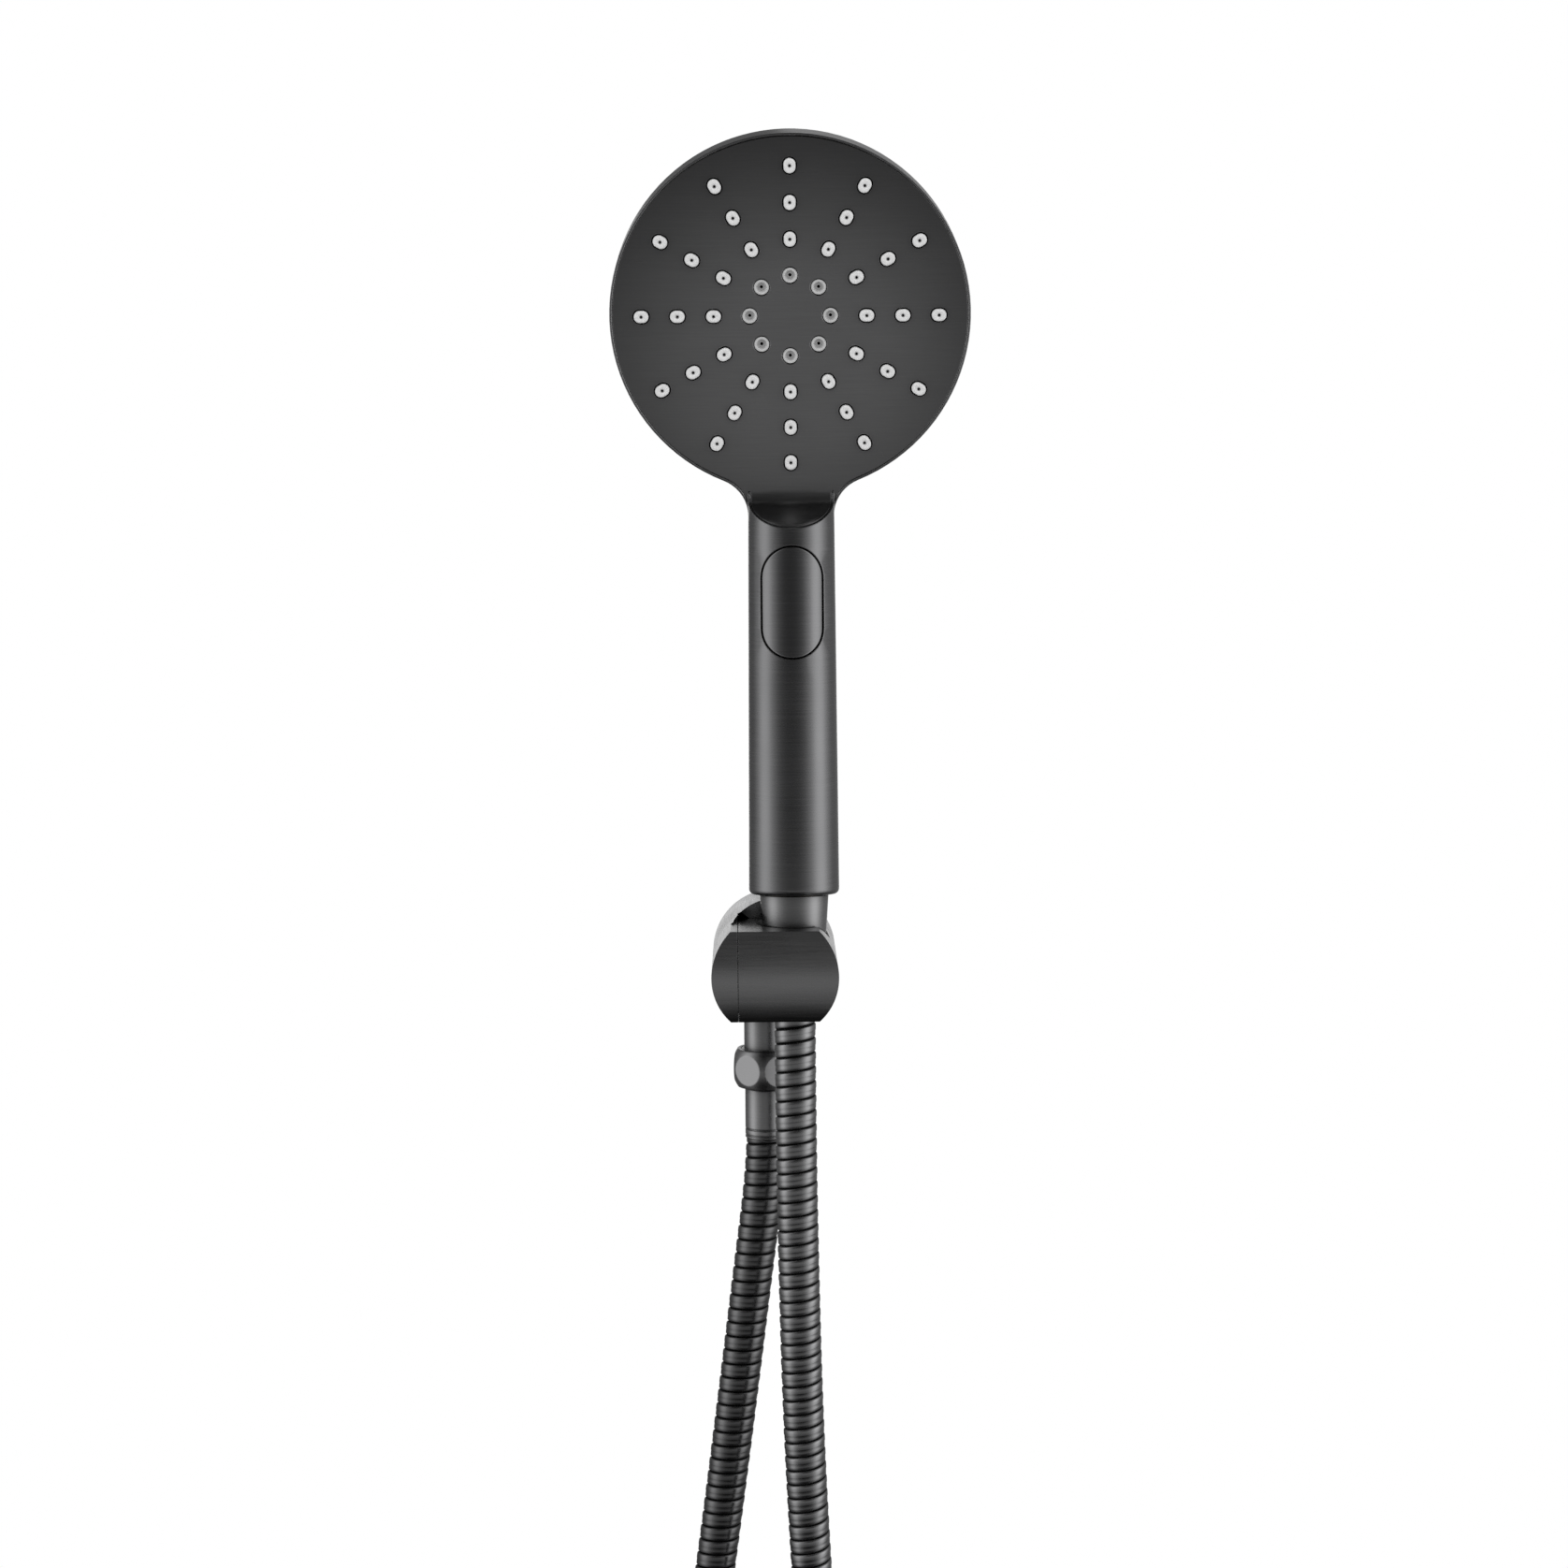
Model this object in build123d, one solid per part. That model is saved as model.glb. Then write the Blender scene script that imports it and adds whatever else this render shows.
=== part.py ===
"""Handheld shower head in its wall bracket, on a metal hose. Millimetres, +Z up.

The origin is the centre of the water inlet in the bracket's wall face. The wall is the plane y = 0, and the
front of the object looks towards -Y. Handset pieces are drawn upright about their own axis and then seated.
"""
import os
from math import cos, pi, radians, sin, tan

from build123d import *

# Handset
head_diameter = 120.0
head_thickness = 18.0
head_back_round = 5.0
face_tilt = 15.6
neck_height = 158.5
neck_stand = 1.7
scoop_drop = 11.0
scoop_angle = 54.0
scoop_round = 4.5
neck_round = 13.0
neck_depth = 12.5
neck_taper = 6.0
neck_taper_in = 3.0
handle_top_diameter = 29.0
handle_foot_diameter = 30.5
handle_foot = 25.2
handle_foot_round = 1.9
handle_bore = 22.0
bore_cap = 1.5
spine_rise = 5.5

# Spray face
plate_thickness = 2.2
plate_rim = 1.0
rings = 3
ring_margin = 10.6
ring_share = 0.2
spokes = 12
nub_width = 4.2
nub_length = 5.1
nub_reach = 1.3
nub_gap = 0.4
nub_hole = 1.1
jet_margin = 5.5
jets = 8
jet_diameter = 5.0
jet_recess = 0.35
jet_rim = 0.7
insert_margin = 6.5
mat_thickness = 2.0
mat_margin = 7.0
spreader_thickness = 2.5
chamber_margin = 9.0
chamber_depth = 3.5
seal_width = 2.0
screw_margin = 4.0
screw_count = 4
screw_diameter = 3.0
screw_head = 5.6
screw_head_depth = 1.4
screw_length = 8.0

# Mode button
button_width = 20.0
button_length = 37.0
button_drop = 6.0
button_back = 8.0
button_crown = 13.4
button_proud = 0.3
button_travel = 2.5
button_gap = 0.5
button_edge = 0.4
stem_diameter = 5.0
stem_reach = 6.0
spring_radius = 3.9
spring_wire = 0.9
spring_turns = 5
spring_seat = 1.0
stem_seal_width = 1.6
stem_seal_depth = 2.0

# Waterway of the handle
cartridge_drop = 28.0
waterway = 8.0
neck_waterway = 6.0
neck_waterway_back = 5.5
neck_waterway_rise = 19.5
nipple_diameter = 19.2
nipple_foot = 13.0
nipple_top = 45.0
nipple_bore = 12.0
nipple_seal_height = 38.0
nipple_seal_section = 2.0
tube_diameter = 14.0
filter_height = 15.0
filter_thickness = 1.5
restrictor_height = 19.0
restrictor_thickness = 4.0
restrictor_hole = 5.0

# Cone nut and its swivel
cone_top_diameter = 23.2
cone_length = 38.0
cone_half_angle = 3.76
cone_shelf = 6.2
cone_throat = 15.0
ferrule_flange = 17.4
ferrule_flange_top = 10.3
washer_thickness = 2.0
cone_gap = 0.4

# Hose
hose_diameter = 14.0
hose_bore = 10.0
rib_pitch = 4.9
rib_groove = 0.5
bend_share = 0.45
front_lead = 43.0
coil_radius = 76.0
coil_pitch = 15.0
coil_half_turns = 3
tie_width = 12.0
tie_thickness = 1.4

# Bracket
body_diameter = 42.5
projection = 62.0
nose_radius = 43.0
holder_height = 30.5
seam_x = -12.5
socket_x = 6.7
socket_y = -42.0
lean = 5.0
swing_radius = 20.0
hand_room = 20.6
liner_wall = 0.9
mouth_round = 0.5
inlet_diameter = 19.0
inlet_depth = 9.5
inlet_passage = 10.0
inlet_passage_depth = 18.0
inlet_seal_diameter = 15.6
inlet_seal_thickness = 2.0
pivot_diameter = 6.0
pivot_head = 9.0
pivot_head_depth = 2.6
pivot_grip = 6.5
bush_wall = 1.5
friction_diameter = 29.0
friction_thickness = 1.2

# Outlet and union
outlet_x = -3.2
outlet_y = -15.0
stub_diameter = 15.0
stub_top = -12.0
stub_foot = -32.2
outlet_bore = 9.0
outlet_thread = 17.0
outlet_thread_length = 5.8
nut_across_flats = 21.2
nut_height = 13.2
nut_turn = 7.0
nut_lip = 3.2
nut_belly = 23.6
nut_end = 19.6
sleeve_diameter = 14.6
sleeve_length = 17.7
sleeve_round = 1.0
sleeve_ring = 0.6
sleeve_ring_depth = 0.35
sleeve_ring_pitch = 2.2
tail_diameter = 9.2
valve_length = 9.0
valve_hole = 4.0

# Clearances
fit = 0.05
running = 0.08
easy = 0.2
clear = 0.3
loose = 0.5

# Worked out from the sizes above
slope = tan(radians(face_tilt))
across = cos(radians(face_tilt))
rise = sin(radians(face_tilt))
handle_r = handle_top_diameter / 2
foot_r = handle_foot_diameter / 2
head_r = head_diameter / 2
half_height = holder_height / 2
body_r = body_diameter / 2
hose_r = hose_diameter / 2
cone_top = handle_foot - cone_gap
cone_foot = cone_top - cone_length
cone_slope = tan(radians(cone_half_angle))
holder_side = seam_x + clear
face_height = neck_height + neck_stand + head_r * across
neck_low = -((head_r + neck_round) ** 2 - (handle_r + neck_round) ** 2) ** 0.5
scoop_bottom = neck_height - scoop_drop
handle_bore_top = scoop_bottom - bore_cap
button_height = scoop_bottom - button_drop - button_length / 2
cartridge_foot = button_height - cartridge_drop
outer_ring = head_r - ring_margin
ring_radii = [outer_ring - ring_share * head_r * ring for ring in range(rings)]
insert_diameter = 2 * (ring_radii[-1] - insert_margin)
jet_ring_radius = insert_diameter / 2 - jet_margin
mat_diameter = head_diameter - 2 * mat_margin
screw_circle = mat_diameter - 2 * screw_margin
chamber_diameter = mat_diameter - 2 * chamber_margin
face_y = -(face_height - neck_height) * slope
face = Plane(origin=(0, face_y, face_height), x_dir=(1, 0, 0), z_dir=(0, -across, -rise))
long_enough = 2 * (head_diameter + projection)
standing = (Align.CENTER, Align.CENTER, Align.MIN)


def column(diameter, low, high):
    """Upright cylinder between two heights."""
    return Pos(0, 0, low) * Cylinder(diameter / 2, high - low, align=standing)


def collar(outer, inner, low, high):
    """Upright ring between two heights."""
    return column(outer, low, high) - column(inner, low - 1, high + 1)


def frustum(low_diameter, high_diameter, low, high):
    """Upright cone between two heights."""
    return Pos(0, 0, low) * Cone(low_diameter / 2, high_diameter / 2, high - low, align=standing)


def facing(diameter, front, back):
    """Disc square to the spray face, between two depths behind it."""
    return extrude(face.offset(-back) * Circle(diameter / 2), amount=back - front)


def along_x(diameter, low, high, y=0.0, z=0.0):
    """Cylinder along X between two places."""
    return Pos(low, y, z) * Rot(0, 90, 0) * column(diameter, 0, high - low)


def along_y(diameter, low, high, x=0.0, z=0.0):
    """Cylinder along Y between two places."""
    return Pos(x, low, z) * Rot(-90, 0, 0) * column(diameter, 0, high - low)


def block(low, high):
    """Box between two corners."""
    size = [b - a for a, b in zip(low, high)]
    return Pos(*low) * Box(*size, align=(Align.MIN, Align.MIN, Align.MIN))


def seat(shape):
    """Put an upright handset piece into the leaning socket."""
    return Pos(socket_x, socket_y, 0) * Rot(-lean, 0, 0) * shape


def seated_point(x, y, z):
    """A point of the upright handset, in the leaning socket."""
    turn = radians(lean)
    return Vector(socket_x + x, socket_y + y * cos(turn) + z * sin(turn), z * cos(turn) - y * sin(turn))


def save(name, shape):
    """Write one piece as its own file."""
    export_step(shape, os.path.join("parts", name + ".step"))


def scoop_region(depth):
    """Everything in front of the spray face and the neck's scoop, moved back by a depth."""
    front = Vector(-across, -rise)
    down = Vector(rise, -across)
    ramp = Vector(-sin(radians(scoop_angle)), -cos(radians(scoop_angle)))
    lifted = Vector(ramp.Y, -ramp.X)
    high = Vector(0, neck_height) - front * depth
    low = Vector(-handle_r, scoop_bottom) - lifted * depth
    corner = high + down * ((low - high).dot(lifted) / down.dot(lifted))
    top = corner - down * long_enough
    outline = make_face(Polyline(top, corner, corner + ramp * long_enough, close=True))
    bend = outline.vertices().sort_by_distance(corner)[0]
    return extrude(Plane.YZ * fillet(bend, scoop_round + depth), amount=long_enough, both=True)


def head_outline(inset):
    """Front view of the head with its rounded neck, in the plane of the face."""
    half_width = handle_r - inset
    tongue = Pos(0, -head_r) * Rectangle(2 * half_width, head_r / 2)
    outline = Circle(head_r - inset) + tongue
    corners = outline.vertices().sort_by(Axis.Y)[2:4]
    return fillet(corners, neck_round + inset)


def plate_space(inset, depth):
    """The face plate's room: the head's outline and the tongue in the handle, down to a depth."""
    sheet = extrude(face * head_outline(inset), amount=-head_r)
    window = Pos(0, neck_low + head_diameter) * Rectangle(2 * head_diameter, 2 * head_diameter)
    above = extrude(face * window, amount=head_r, both=True)
    tongue = column(handle_top_diameter - 2 * inset, scoop_bottom - handle_r, neck_height + handle_r)
    return (sheet & above) + (tongue & scoop_region(depth)) & scoop_region(depth)


def spoke_places():
    """Places of the soft nozzles in the face plane, each turned along its spoke."""
    turns = [360 * spoke / spokes for spoke in range(spokes)]
    return [Rot(0, 0, turn) * Pos(0, radius) for radius in ring_radii for turn in turns]


def ring_places(radius, count, start):
    """Places spaced evenly round the face's centre, from a starting turn in degrees."""
    return [Rot(0, 0, start + 360 * number / count) * Pos(0, radius) for number in range(count)]


def pins(places, diameter, front, back):
    """Straight pins square to the face at several places, between two depths."""
    circles = [place * Circle(diameter / 2) for place in places]
    return extrude(face.offset(-back) * Sketch(children=circles), amount=back - front)


def nubs(growth, front, back):
    """Long round-ended nozzles square to the face, grown by an amount, between two depths."""
    slots = [place * SlotOverall(nub_length + 2 * growth, nub_width + 2 * growth, rotation=90)
             for place in spoke_places()]
    return extrude(face.offset(-back) * Sketch(children=slots), amount=back - front)


def obround(width, length, back, front):
    """Long round-ended pad on the handle's front, between two depths ahead of the axis."""
    plane = Plane(origin=(0, -back, button_height), x_dir=(0, 0, 1), z_dir=(0, -1, 0))
    return extrude(plane * SlotOverall(length, width), amount=front - back)


def biarc(start, leave, end, arrive):
    """Two arcs that join two points with the given unit tangents."""
    gap = end - start
    both = leave + arrive
    spread = 2 * (1 - leave.dot(arrive))
    reach = -gap.dot(both) + (gap.dot(both) ** 2 + spread * gap.dot(gap)) ** 0.5
    reach /= spread
    near = start + leave * reach
    far = end - arrive * reach
    middle = (near + far) * 0.5
    return [TangentArc(start, middle, tangent=leave), TangentArc(middle, end, tangent=far - near)]


def winding(radius, pitch, quarters, place, lead):
    """Path of a winding about Y in quarter turns of two arcs each, with straight ends of a given length."""
    climb = pitch / 4

    def point(step):
        turn = step * pi / 2
        return place + Vector(radius * cos(turn), climb * step, -radius * sin(turn))

    def heading(step):
        turn = step * pi / 2
        level = 0.0 if step in (0, quarters) else climb / (radius * pi / 2)
        return Vector(-sin(turn), level, -cos(turn)).normalized()

    edges = [Line(point(0) - heading(0) * lead, point(0))]
    for step in range(quarters):
        edges += biarc(point(step), heading(step), point(step + 1), heading(step + 1))
    edges.append(Line(point(quarters), point(quarters) + heading(quarters) * lead))
    return Wire([curve.edge() for curve in edges])


def least_gap(path, thickness, steps):
    """Least room between two passes of a tube along a path, measured on points."""
    points = [path.position_at(step / steps) for step in range(steps + 1)]
    apart = int(steps * 3 * thickness / path.length) + 1
    nearest = min((a - b).length for i, a in enumerate(points) for b in points[i + apart:])
    return nearest - thickness


def hose_path(points):
    """Straight runs joined by arcs as large as the runs allow."""
    radii = []
    for before, here, after in zip(points, points[1:], points[2:]):
        turn = radians((here - before).get_angle(after - here))
        run = min((here - before).length, (after - here).length)
        radii.append(bend_share * run / tan(turn / 2))
    print("hose radii", [round(radius) for radius in radii])
    return FilletPolyline(*points, radius=radii)


def ribbed_hose(path):
    """Hose with its bore and a rib for each pitch: a ruled loft through four circles a rib."""
    ribs = round(path.length / rib_pitch)
    shares = ((0.0, -rib_groove), (0.1, 0.0), (0.8, 0.0), (0.9, -rib_groove))

    def circle(place, radius):
        plane = Plane(origin=path.position_at(place), x_dir=(1, 0, 0), z_dir=path.tangent_at(place))
        return plane * Circle(radius)

    skin = [circle((rib + share) / ribs, hose_r + step) for rib in range(ribs) for share, step in shares]
    skin.append(circle(1.0, hose_r - rib_groove))
    hole = [circle(rib / ribs, hose_bore / 2) for rib in range(ribs + 1)]
    hose = loft(skin, ruled=True) - loft(hole, ruled=True)
    section = pi * (hose_r ** 2 - (hose_bore / 2) ** 2)
    share = round(hose.volume / section / path.length, 3)
    print("ribs", ribs, "length", round(path.length), "volume share", share)
    return hose


os.makedirs("parts", exist_ok=True)

# Depths behind the spray face
mat_front = plate_thickness + fit
mat_back = mat_front + mat_thickness
spreader_front = mat_back + fit
spreader_back = spreader_front + spreader_thickness
chamber_back = spreader_back + chamber_depth
seal_outer = mat_diameter + 2 * (seal_width + easy)

# Handle and head in one moulding
spine_top = neck_height + spine_rise
with BuildSketch(Plane.XZ) as handle_half:
    with BuildLine():
        Polyline((0, spine_top), (0, handle_foot), (foot_r, handle_foot), (handle_r, neck_height),
                 (handle_r, spine_top))
        RadiusArc((handle_r, spine_top), (0, spine_top + handle_r), -handle_r)
        Line((0, spine_top + handle_r), (0, spine_top))
    make_face()
handle_solid = revolve(handle_half.sketch, axis=Axis.Z)
handle_solid = fillet(handle_solid.edges().sort_by(Axis.Z)[0], handle_foot_round)
disc = facing(head_diameter, 0, head_thickness)
back_edge = disc.edges().filter_by(GeomType.CIRCLE).sort_by(Axis.Y)[-1]
disc = fillet(back_edge, head_back_round)
neck_share = head_r / (head_r + neck_round)
neck_high = neck_low * neck_share
neck_end = neck_low - neck_taper
with BuildSketch(face) as neck_half:
    with BuildLine():
        Polyline((0, neck_high), (0, neck_end), (handle_r - neck_taper_in, neck_end), (handle_r, neck_low))
        RadiusArc((handle_r, neck_low), ((handle_r + neck_round) * neck_share, neck_high), neck_round)
        Line(((handle_r + neck_round) * neck_share, neck_high), (0, neck_high))
    make_face()
neck = revolve(neck_half.sketch, axis=Axis(face.origin, face.y_dir))
neck &= extrude(face * Rectangle(long_enough, long_enough), amount=-neck_depth)
outer = handle_solid + disc + neck - scoop_region(0)

hole_width = button_width + 2 * button_gap
hole_length = button_length + 2 * button_gap
button_hole = obround(hole_width, hole_length, button_back - button_travel, foot_r * 2)
shell = outer - plate_space(plate_rim - easy, plate_thickness + fit)
shell -= facing(seal_outer + 2 * easy, 0, mat_back + fit)
shell -= facing(mat_diameter + 2 * easy, 0, spreader_back + fit)
shell -= facing(chamber_diameter, 0, chamber_back)
shell -= column(handle_bore, handle_foot - 1, handle_bore_top)
shell -= button_hole
neck_passage = column(neck_waterway, handle_bore_top - 1, neck_height + neck_waterway_rise)
shell -= Pos(0, neck_waterway_back, 0) * neck_passage
screw_places = ring_places(screw_circle / 2, screw_count, 180 / screw_count)
shell -= pins(screw_places, screw_diameter + 2 * fit, 0, mat_back + screw_length + loose)
save("handle_shell", seat(shell))

# Face plate with its tongue, nozzle mat, jets and what lies behind them
plate = plate_space(plate_rim, plate_thickness) - scoop_region(0)
jet_places = ring_places(jet_ring_radius, jets, 0)
plate -= nubs(nub_gap, -1, plate_thickness + 1)
plate -= pins(jet_places, jet_diameter + 2 * clear, -1, plate_thickness + 1)
save("face_plate", seat(plate))

mat = facing(mat_diameter, mat_front, mat_back) - facing(insert_diameter + 2 * easy, 0, mat_back + 1)
mat += nubs(0, -nub_reach, mat_front)
mat -= pins(spoke_places(), nub_hole, -nub_reach - 1, mat_back + 1)
save("nozzle_mat", seat(mat))

insert = facing(insert_diameter, mat_front, mat_back)
insert += pins(jet_places, jet_diameter, jet_recess, mat_front)
insert -= pins(jet_places, nub_hole, 0, mat_back + 1)
funnels = [place * Circle(jet_diameter / 2 - jet_rim) for place in jet_places]
insert -= extrude(face.offset(-jet_recess) * Sketch(children=funnels), amount=-plate_thickness / 2, taper=35)
save("jet_insert", seat(insert))

spreader = facing(mat_diameter, spreader_front, spreader_back)
spreader -= pins(spoke_places(), nub_hole * 2, 0, spreader_back + 1)
spreader -= pins(jet_places, nub_hole * 2, 0, spreader_back + 1)
spreader -= pins(screw_places, screw_diameter + 2 * easy, 0, spreader_back + 1)
spreader -= pins(screw_places, screw_head + 2 * easy, 0, spreader_front + screw_head_depth)
save("distribution_plate", seat(spreader))

screws = pins(screw_places, screw_diameter, spreader_front, mat_back + screw_length)
screws += pins(screw_places, screw_head, spreader_front, spreader_front + screw_head_depth)
save("face_screws", seat(screws))

seal = facing(seal_outer, mat_front, mat_back) - facing(seal_outer - 2 * seal_width, 0, mat_back + 1)
save("head_seal", seat(seal))

# Mode button, its stem, spring and seal, and the cartridge that it works
crown_y = button_crown - handle_r - button_proud
crown = Pos(0, crown_y, 0) * column(2 * button_crown, handle_foot, neck_height)
button = obround(button_width, button_length, button_back, foot_r * 2) & crown
button = fillet(button.faces().sort_by(Axis.Y)[0].edges(), button_edge)
save("mode_button", seat(button))

stem = Pos(0, 0, button_height) * along_y(stem_diameter, -button_back, stem_reach)
save("button_stem", seat(stem))

spring_length = button_back + spring_seat - 2 * fit - spring_wire
spring_start = Vector(0, spring_wire / 2 + fit - button_back, button_height)
spring_quarters = 4 * spring_turns
spring_path = winding(spring_radius, spring_length / spring_turns, spring_quarters, spring_start, 0.01)
spring_end = Plane(origin=spring_path.position_at(0), z_dir=spring_path.tangent_at(0))
save("button_spring", seat(sweep(spring_end * Circle(spring_wire / 2), path=spring_path)))
print("spring gap", round(least_gap(spring_path, spring_wire, 400), 2))

cartridge = column(handle_bore - 2 * fit, cartridge_foot, handle_bore_top - clear)
cartridge -= obround(hole_width, hole_length, button_back - button_travel - clear, foot_r)
spring_room = 2 * (spring_radius + spring_wire / 2 + clear)
seal_outer_y = stem_diameter + 2 * stem_seal_width
cartridge -= Pos(0, 0, button_height) * along_y(spring_room, -button_back, spring_seat)
cartridge -= Pos(0, 0, button_height) * along_y(seal_outer_y + 2 * fit, 0, spring_seat + stem_seal_depth)
stem_room = stem_reach + button_travel + loose
cartridge -= Pos(0, 0, button_height) * along_y(stem_diameter + 2 * running, 0, stem_room)
cartridge -= column(waterway, cartridge_foot - 1, button_height - stem_diameter - spring_room / 2)
cartridge -= Pos(0, neck_waterway_back, 0) * column(neck_waterway, button_height + spring_room / 2,
                                                    handle_bore_top + 1)
save("diverter_cartridge", seat(cartridge))

stem_ring = along_y(seal_outer_y, spring_seat + fit, spring_seat + stem_seal_depth)
stem_ring -= along_y(stem_diameter + 2 * running, 0, stem_reach)
save("stem_seal", seat(Pos(0, 0, button_height) * stem_ring))

# Waterway: tube, threaded nipple with its seal, restrictor and filter
save("water_tube", seat(collar(tube_diameter, waterway, nipple_top, cartridge_foot)))

nipple = column(nipple_diameter, nipple_foot, handle_foot)
nipple += column(handle_bore - 2 * fit, handle_foot, nipple_top)
nipple -= column(nipple_bore, nipple_foot - 1, restrictor_height + restrictor_thickness)
nipple -= column(waterway, nipple_foot, nipple_top + 1)
groove = handle_bore - 2 * nipple_seal_section
nipple -= collar(handle_bore + 2, groove, nipple_seal_height, nipple_seal_height + nipple_seal_section)
save("inlet_nipple", seat(nipple))

nipple_ring = collar(handle_bore - 2 * fit, groove + 2 * fit, nipple_seal_height + fit,
                     nipple_seal_height + nipple_seal_section - fit)
save("nipple_seal", seat(nipple_ring))

restrictor = collar(nipple_bore - 2 * fit, restrictor_hole, restrictor_height,
                    restrictor_height + restrictor_thickness - fit)
save("flow_restrictor", seat(restrictor))

sieve = column(nipple_bore - 2 * fit, filter_height, filter_height + filter_thickness)
sieve_holes = [place * Circle(nub_hole / 2) for place in PolarLocations(nipple_bore / 3, jets).locations]
sieve -= Pos(0, 0, filter_height - 1) * extrude(Sketch(children=sieve_holes), amount=filter_thickness + 2)
save("inlet_filter", seat(sieve))

# Cone nut, washer and swivel ferrule
cone_foot_diameter = cone_top_diameter - 2 * cone_length * cone_slope
cone = frustum(cone_foot_diameter, cone_top_diameter, cone_foot, cone_top)
cone -= column(nipple_diameter + 2 * easy, nipple_foot - clear, cone_top + 1)
cone -= column(ferrule_flange + 2 * clear, cone_shelf, nipple_foot)
cone -= column(cone_throat, cone_foot - 1, cone_shelf + 1)
save("cone_nut", seat(cone))

washer_top = nipple_foot - fit
washer = collar(ferrule_flange, hose_bore, washer_top - washer_thickness, washer_top)
save("hose_washer", seat(washer))

ferrule_barrel = cone_throat - 2 * clear
ferrule = column(ferrule_flange, cone_shelf + clear, ferrule_flange_top)
ferrule += column(ferrule_barrel, cone_foot, cone_shelf + 1)
ferrule -= column(hose_bore, cone_foot - 1, ferrule_flange_top + 1)
save("swivel_ferrule", seat(ferrule))

# Wall body: a round bar cut flat round the hand room, with the left cheek carried to the nose
nose = along_x(2 * nose_radius, -body_r * 2, body_r * 2, nose_radius - projection)
bar = along_y(body_diameter, -projection - 1, 0) & nose
hand = Pos(socket_x, socket_y) * Circle(hand_room)
hand += Pos(0, socket_y - projection) * Rectangle(4 * body_r, 2 * projection)
swing = along_x(2 * (swing_radius + loose), seam_x, body_r * 2, socket_y)
ahead = block((seam_x, -projection * 2, -body_r * 2), (body_r * 2, socket_y, body_r * 2))
body = bar - extrude(Pos(0, 0, half_height) * hand, amount=body_r)
body -= extrude(Pos(0, 0, -half_height) * hand, amount=-body_r)
body -= swing
body -= ahead
body -= along_y(inlet_diameter, -inlet_depth, 1)
body -= along_y(inlet_seal_diameter + 2 * easy, -inlet_depth - inlet_seal_thickness, 0)
body -= along_y(inlet_passage, -inlet_passage_depth, 0)
body -= Pos(outlet_x, outlet_y) * column(stub_diameter + 2 * fit, -body_diameter, stub_top)
body -= Pos(outlet_x, outlet_y) * column(outlet_bore, stub_top - 1, 0)
body -= along_x(pivot_diameter, seam_x - pivot_grip, seam_x + 1, socket_y)
body -= along_x(friction_diameter + 2 * easy, seam_x - friction_thickness, seam_x + 1, socket_y)
save("wall_body", body)

inlet_ring = along_y(inlet_seal_diameter, -inlet_depth - inlet_seal_thickness, -inlet_depth)
inlet_ring -= along_y(inlet_passage, -inlet_passage_depth, 0)
save("inlet_seal", inlet_ring)

friction = along_x(friction_diameter, seam_x - friction_thickness, holder_side - fit, socket_y)
friction -= along_x(pivot_diameter + 2 * easy, seam_x * 2, 0, socket_y)
save("friction_washer", friction)

# Swivel holder with its tapered socket, liner, bush and pivot
socket_wall = liner_wall + clear


def socket(extra):
    """The cone's outside grown by an amount, through the whole holder."""
    low = -2 * half_height
    growth = 2 * extra / cos(radians(cone_half_angle))
    low_diameter = cone_top_diameter - 2 * (cone_top - low) * cone_slope + growth
    high_diameter = cone_top_diameter + growth
    return seat(frustum(low_diameter, high_diameter, low, cone_top))


slab = block((holder_side, -2 * projection, -half_height), (2 * body_r, 0, half_height))
barrel = along_x(2 * swing_radius, holder_side, 2 * body_r, socket_y)
barrel += block((holder_side, -2 * projection, -half_height), (2 * body_r, socket_y, half_height))
holder_outer = barrel & slab & nose & along_y(body_diameter, -2 * projection, 0)
mouth_low = half_height - mouth_round - half_height * tan(radians(lean))
mouth_diameter = cone_top_diameter - 2 * (cone_top - mouth_low) * cone_slope + 2 * clear
mouth_high = mouth_low + body_r
mouth = seat(frustum(mouth_diameter, mouth_diameter + 2 * body_r, mouth_low, mouth_high))
holder = holder_outer - socket(socket_wall + fit) - mouth
pivot_head_x = holder_side + pivot_diameter / 2
bush_diameter = pivot_diameter + 2 * (running + bush_wall)
holder -= along_x(bush_diameter + 2 * fit, holder_side - 1, pivot_head_x, socket_y)
holder -= along_x(pivot_head + 2 * clear, pivot_head_x, socket_x, socket_y)
save("swivel_holder", holder)

liner = ((socket(socket_wall) - socket(clear)) & holder_outer) - mouth
liner -= along_x(pivot_head + 2 * clear, pivot_head_x, pivot_head_x + pivot_head_depth + clear, socket_y)
save("socket_liner", liner)

bush = along_x(bush_diameter, holder_side, pivot_head_x, socket_y)
bush -= along_x(pivot_diameter + 2 * running, holder_side - 1, pivot_head_x + 1, socket_y)
save("pivot_bush", bush)

pivot = along_x(pivot_diameter, seam_x - pivot_grip, pivot_head_x + easy, socket_y)
pivot += along_x(pivot_head, pivot_head_x + easy, pivot_head_x + easy + pivot_head_depth, socket_y)
save("pivot_screw", pivot)

# Outlet spigot with its check valve, then the union nut, washer, tail and sleeve
thread_foot = stub_foot - outlet_thread_length
spigot = column(stub_diameter, stub_foot, stub_top) + column(outlet_thread, thread_foot, stub_foot)
spigot -= column(outlet_bore, thread_foot - 1, stub_top + 1)
save("outlet_spigot", Pos(outlet_x, outlet_y) * spigot)

valve = collar(outlet_bore - 2 * fit, valve_hole, thread_foot, thread_foot + valve_length)
save("check_valve", Pos(outlet_x, outlet_y) * valve)

rear_washer = collar(outlet_thread, hose_bore, thread_foot - washer_thickness, thread_foot)
save("rear_washer", Pos(outlet_x, outlet_y) * rear_washer)

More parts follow.
